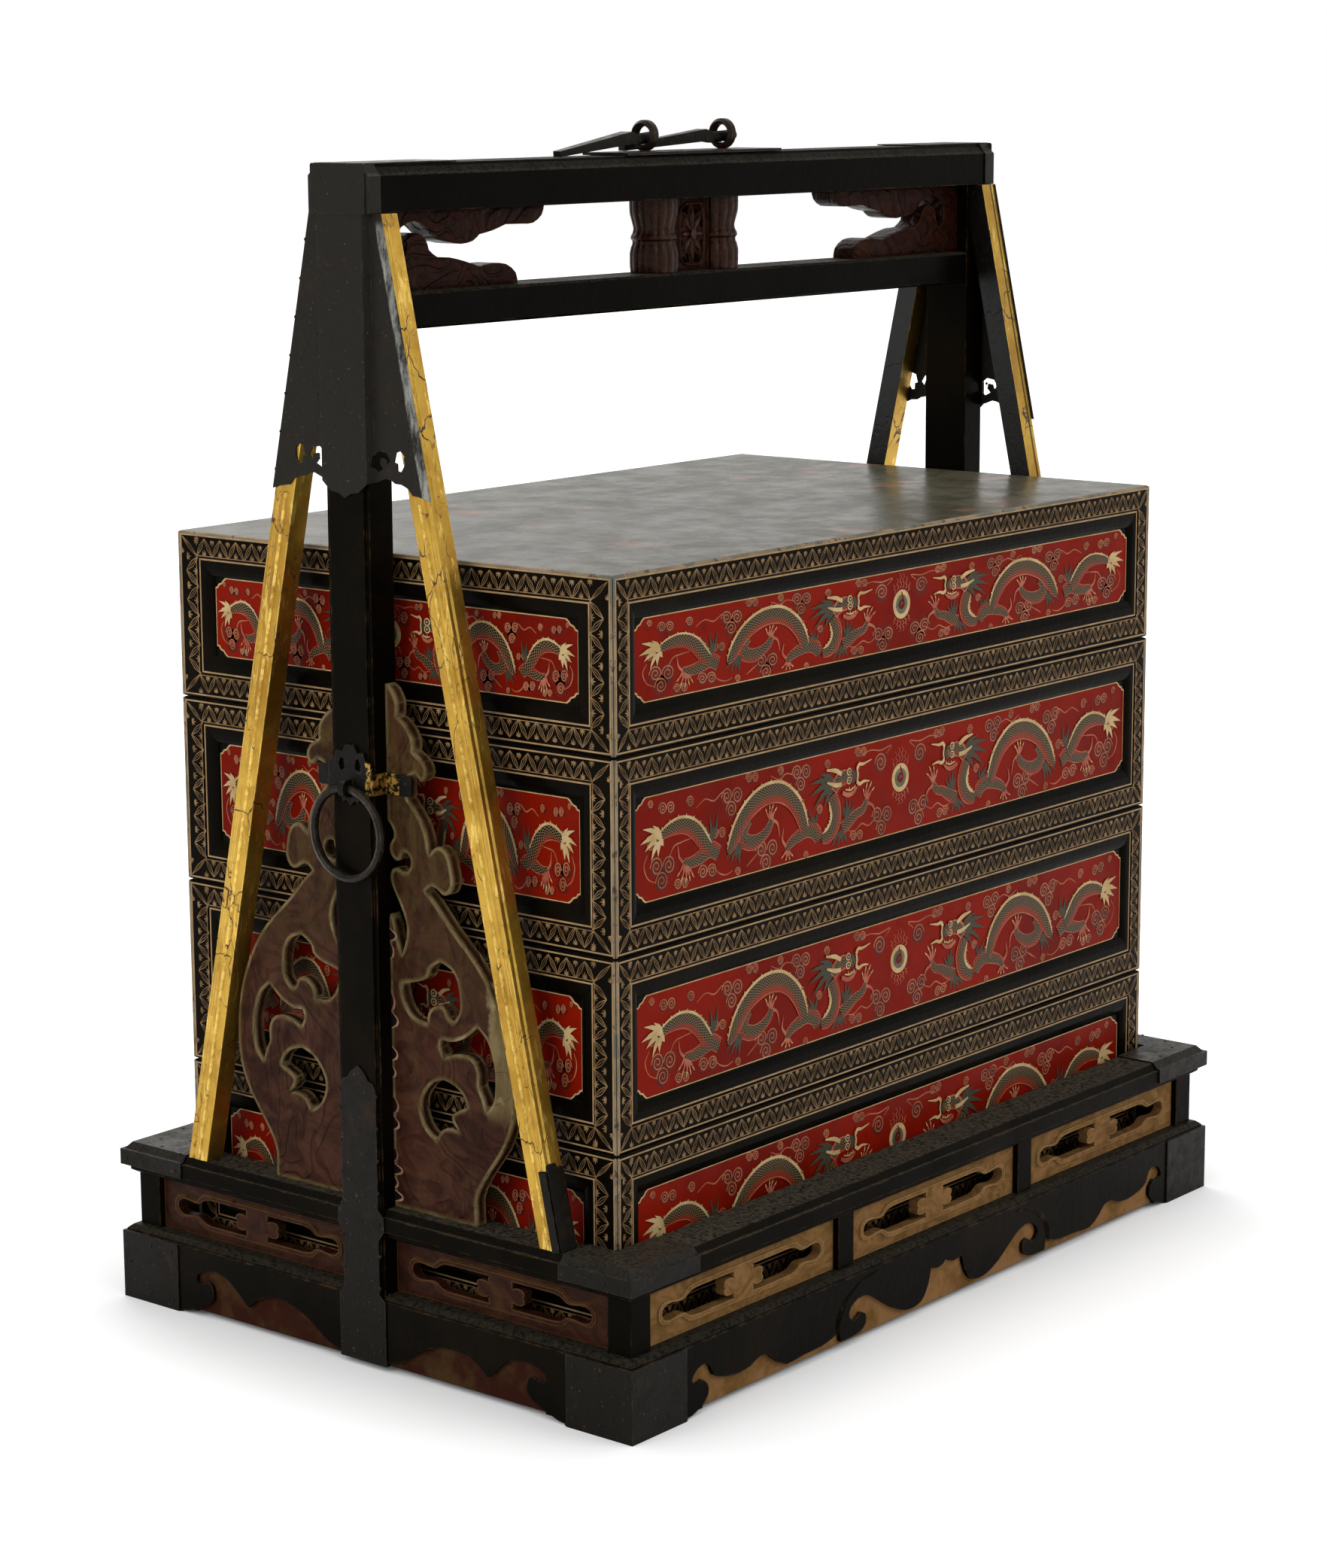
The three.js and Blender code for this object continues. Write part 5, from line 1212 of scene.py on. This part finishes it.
# %% Beam caps
CAP_SIZE = (1.4, 61.0, 41.0)
CAP_FACE, CAP_RISE = 0.4504, 0.0012
caps = bmesh.new()
beam_low, beam_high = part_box("beam")
for side in (-1, 1):
    middle = Vector((side * CAP_FACE, 0, beam_high[2] - CAP_SIZE[2] / 2 * MM + CAP_RISE))
    plate(caps, middle, Matrix(), CAP_SIZE, 2, lambda a, b: abs(a.x - b.x) > 0.5 * MM)
finish_piece("beam_caps", caps, [sheath_iron], "frame")
print("beam:", beam_low, beam_high)

# %% [markdown]
# ## Nails
# Small round-headed nails hold the sheet iron: down both edges of the foot strips, round the sheaths, on the
# corner irons and the handle's plate. They're low domes, all one mesh.

# %% Nails
NAIL_FACE = 0.45  # distance of the irons' faces from the middle
RAIL_TOP = 0.1466
LARGE, MIDDLING, SMALL = 1.9, 1.6, 1.5  # radii in millimetres
# Places along the end and heights. The nails on the rail's top have a distance from the middle for a height
STRIP_HALF, STRIP_TOP, STAGGER = 0.0215, 0.246, 0.012
STRIP_HEIGHTS = [0.018 + 0.0285 * i for i in range(9)]
CORNER_NAILS = ((0.239, 0.054), (0.239, 0.009), (0.266, 0.054), (0.294, 0.034), (0.268, 0.01))
RAIL_NAILS = [(along, 0.1325) for along in (0.231, 0.252, 0.274, 0.294)]
SHEATH_NAILS = [(strut_edge(height) - 0.005, height) for height in (0.775 + 0.032 * i for i in range(7))]
POST_NAILS = [(0.0285, 0.79 + 0.05 * i) for i in range(5)]
TOP_NAILS = ((0.232, 0.442), (0.262, 0.436), (0.28, 0.42), (0.288, 0.385), (0.262, 0.366))


def nail(form, place, outward, radius):
    """A low dome."""
    turned = Vector(outward).to_track_quat("Z", "Y").to_matrix().to_4x4()
    matrix = Matrix.Translation(Vector(place)) @ turned @ Matrix.Diagonal((1, 1, 0.4, 1))
    bmesh.ops.create_uvsphere(form, u_segments=8, v_segments=4, radius=radius * MM, matrix=matrix)


nails = bmesh.new()
for sx in (-1, 1):
    spots = []  # along, height and radius of the nails in the end's face
    for height in STRIP_HEIGHTS:
        for sy in (-1, 1):
            spots.append((sy * STRIP_HALF, min(height + (STAGGER if sy > 0 else 0), STRIP_TOP), LARGE))
    for sy in (-1, 1):
        for row, radius in ((CORNER_NAILS, LARGE), (RAIL_NAILS, MIDDLING), (SHEATH_NAILS, SMALL),
                            (POST_NAILS, SMALL)):
            spots += [(sy * along, height, radius) for along, height in row]
        for along, out in TOP_NAILS:
            nail(nails, (sx * out, sy * along, RAIL_TOP), (0, 0, 1), MIDDLING)
    for along, height, radius in spots:
        nail(nails, (sx * NAIL_FACE, along, height), (sx, 0, 0), radius)
finish_piece("iron_nails", nails, [dark_iron], "frame")

# %% [markdown]
# ## Carving between the rails
# The centre block is two tied sheaves of petals with a framed window between them, and a flower in the window.
# Fluted skins are wrapped round the sheaves, and domed strokes make the frame and the petals on both faces.

# %% Carved sheaves and flower
BLOCK_LOW, BLOCK_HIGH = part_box("centre_block")[0][2] / MM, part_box("centre_block")[1][2] / MM
SHEAF_RADIUS, SHEAF_DEPTH = 22.0, 20.0
SHEAF_MIDDLE = 44
# How wide the sheaf is at each share of its height
SHEAF_SHARES = [(0.0, 0.97), (0.1, 1.0), (0.26, 1.0), (0.35, 0.93), (0.41, 0.84), (0.47, 1.0), (0.55, 0.84),
                (0.6, 0.82), (0.7, 0.9), (0.79, 0.98), (0.88, 1.0), (1.0, 1.0)]
TIE_SHARE = 0.47
FLUTES = 14
WINDOW_FACE = 0.008
PETALS = 8


def sheaf_skin(form, middle):
    """A grid wrapped round one sheaf, its petals swelling between the flutes."""
    verts = bmesh.ops.create_grid(form, x_segments=FLUTES * 4, y_segments=26, size=1)["verts"]
    for vert in verts:
        share = (vert.co.y + 1) / 2
        angle = (vert.co.x + 1) * math.pi
        tie = math.exp(-((share - TIE_SHARE) / 0.035) ** 2)
        petal = abs(math.sin(angle * FLUTES / 2)) ** 0.6
        radius = SHEAF_RADIUS * np.interp(share, *zip(*SHEAF_SHARES)) + 0.1 + 1.5 * petal * (1 - tie) + 0.8 * tie
        height = BLOCK_LOW + 0.3 + (BLOCK_HIGH - BLOCK_LOW - 0.6) * share
        vert.co = (middle + radius * math.cos(angle), SHEAF_DEPTH / SHEAF_RADIUS * radius * math.sin(angle), height)
    bmesh.ops.remove_doubles(form, verts=verts, dist=0.001)


def squarish(angle, width, height):
    """A point on the window's rounded frame."""
    return tuple(size * math.copysign(abs(part) ** 0.5, part)
                 for size, part in ((width, math.cos(angle)), (height, math.sin(angle))))


carving = bmesh.new()
for middle in (-SHEAF_MIDDLE, SHEAF_MIDDLE):
    sheaf_skin(carving, middle)
bmesh.ops.scale(carving, verts=carving.verts, vec=(MM, MM, MM))
bmesh.ops.recalc_face_normals(carving, faces=carving.faces)
for side in ("front", "back"):
    relief = bmesh.new()
    ring = [squarish(angle, 17.5, 28) for angle in np.linspace(0, 2 * math.pi, 25)]
    stroke(relief, ring, (2.4, 2.4), 0, 48, 0.0, 2.2, 2)
    for i in range(PETALS):
        angle = 2 * math.pi / PETALS * i
        tip = np.array((15.5 * math.cos(angle), 21 * math.sin(angle)))
        stroke(relief, [tip * 0.15, tip * 0.65, tip], (2.2, 6.4, 2.4), 0, 6, 0.2, 1.8, 4)
        stroke(relief, [tip * 0.3, tip * 0.9], (1.2, 0.8), 0, 2, 1.6, 1.0, 2)
    disc(relief, (0, 0), 4.2, 0, 3.2, 12)
    pour(carving, relief, upright_plane(side, WINDOW_FACE, (BLOCK_LOW + BLOCK_HIGH) / 2 * MM) @ IN_MM)
finish_piece("block_carving", carving, [carved_petals], "frame")

# %% [markdown]
# ## Chips and engraved plumes
# Where the wings meet the posts the paint has broken away in bites with pale rims. On the long aprons, plumes
# are engraved over the hooks: five nested lines that sweep down from the ledge.

# %% Chips along the posts
random.seed(8)
POST_EDGE = 24.8
WING_FACE = 0.432
CHIP_HEIGHTS = (150, 380)
pale_chip = flat_paint("pale_chip", srgb(176, 138, 114), srgb(136, 100, 78), 0.6)
bitten = flat_paint("bitten_dark", srgb(16, 13, 10), srgb(26, 18, 13), 0.6)


def chips(form, hand):
    """Dark bites with a pale rim, down one wing's inner edge."""
    height, top = CHIP_HEIGHTS
    while height < top:
        tall, deep = random.uniform(8, 17), random.uniform(3, 8.5)

        def spot(out, share, edge=POST_EDGE):
            return hand * (edge + deep * out), height + tall * share
        for share in (0.25, 0.6):
            inner = [spot(share * out, up, POST_EDGE - 0.2) for out, up in ((0.5, 0.08), (1, 0.5), (0.5, 0.92))]
            stroke(form, inner, (deep * 0.3, deep * 0.9, deep * 0.3), 1, 8, 0.1, 0.02, 1)
        rim = [spot(*at) for at in ((0, 0), (0.9, 0.25), (1, 0.6), (0, 1))]
        stroke(form, rim, (1.0, 2.4, 1.8, 0.8), 0, 12, 0.25, 0.3, 1)
        height += tall + random.choice((0.5, 2, 5, 16, 28))


for end in ENDS:
    ragged, whole = bmesh.new(), bmesh.new()
    for hand in (1, -1):
        chips(ragged, hand)
    pour(whole, ragged, upright_plane(end, WING_FACE) @ IN_MM)
    finish_piece("wing_chips_" + end, whole, [pale_chip, bitten], "frame")

# %% Engraved plumes
APRON_FACE = 0.301
plumes = bmesh.new()
for side in ("front", "back"):
    drawn = bmesh.new()
    for hand in (1, -1):
        for i in range(5):
            knots = [(104 + 7 * i, 59 - i), (128 + 6 * i, 57 - 2.4 * i), (150 + 3.4 * i, 45 - 2 * i),
                     (162 + 1.6 * i, 28), (165 + i, 15)]
            stroke(drawn, [(hand * x, z) for x, z in knots], (0.6, 1.6, 1.2, 0.5), 0, 20, 0.1, 0.8, 2)
    pour(plumes, drawn, upright_plane(side, APRON_FACE) @ IN_MM)
finish_piece("apron_plumes", plumes, [black_lacquer], "frame")
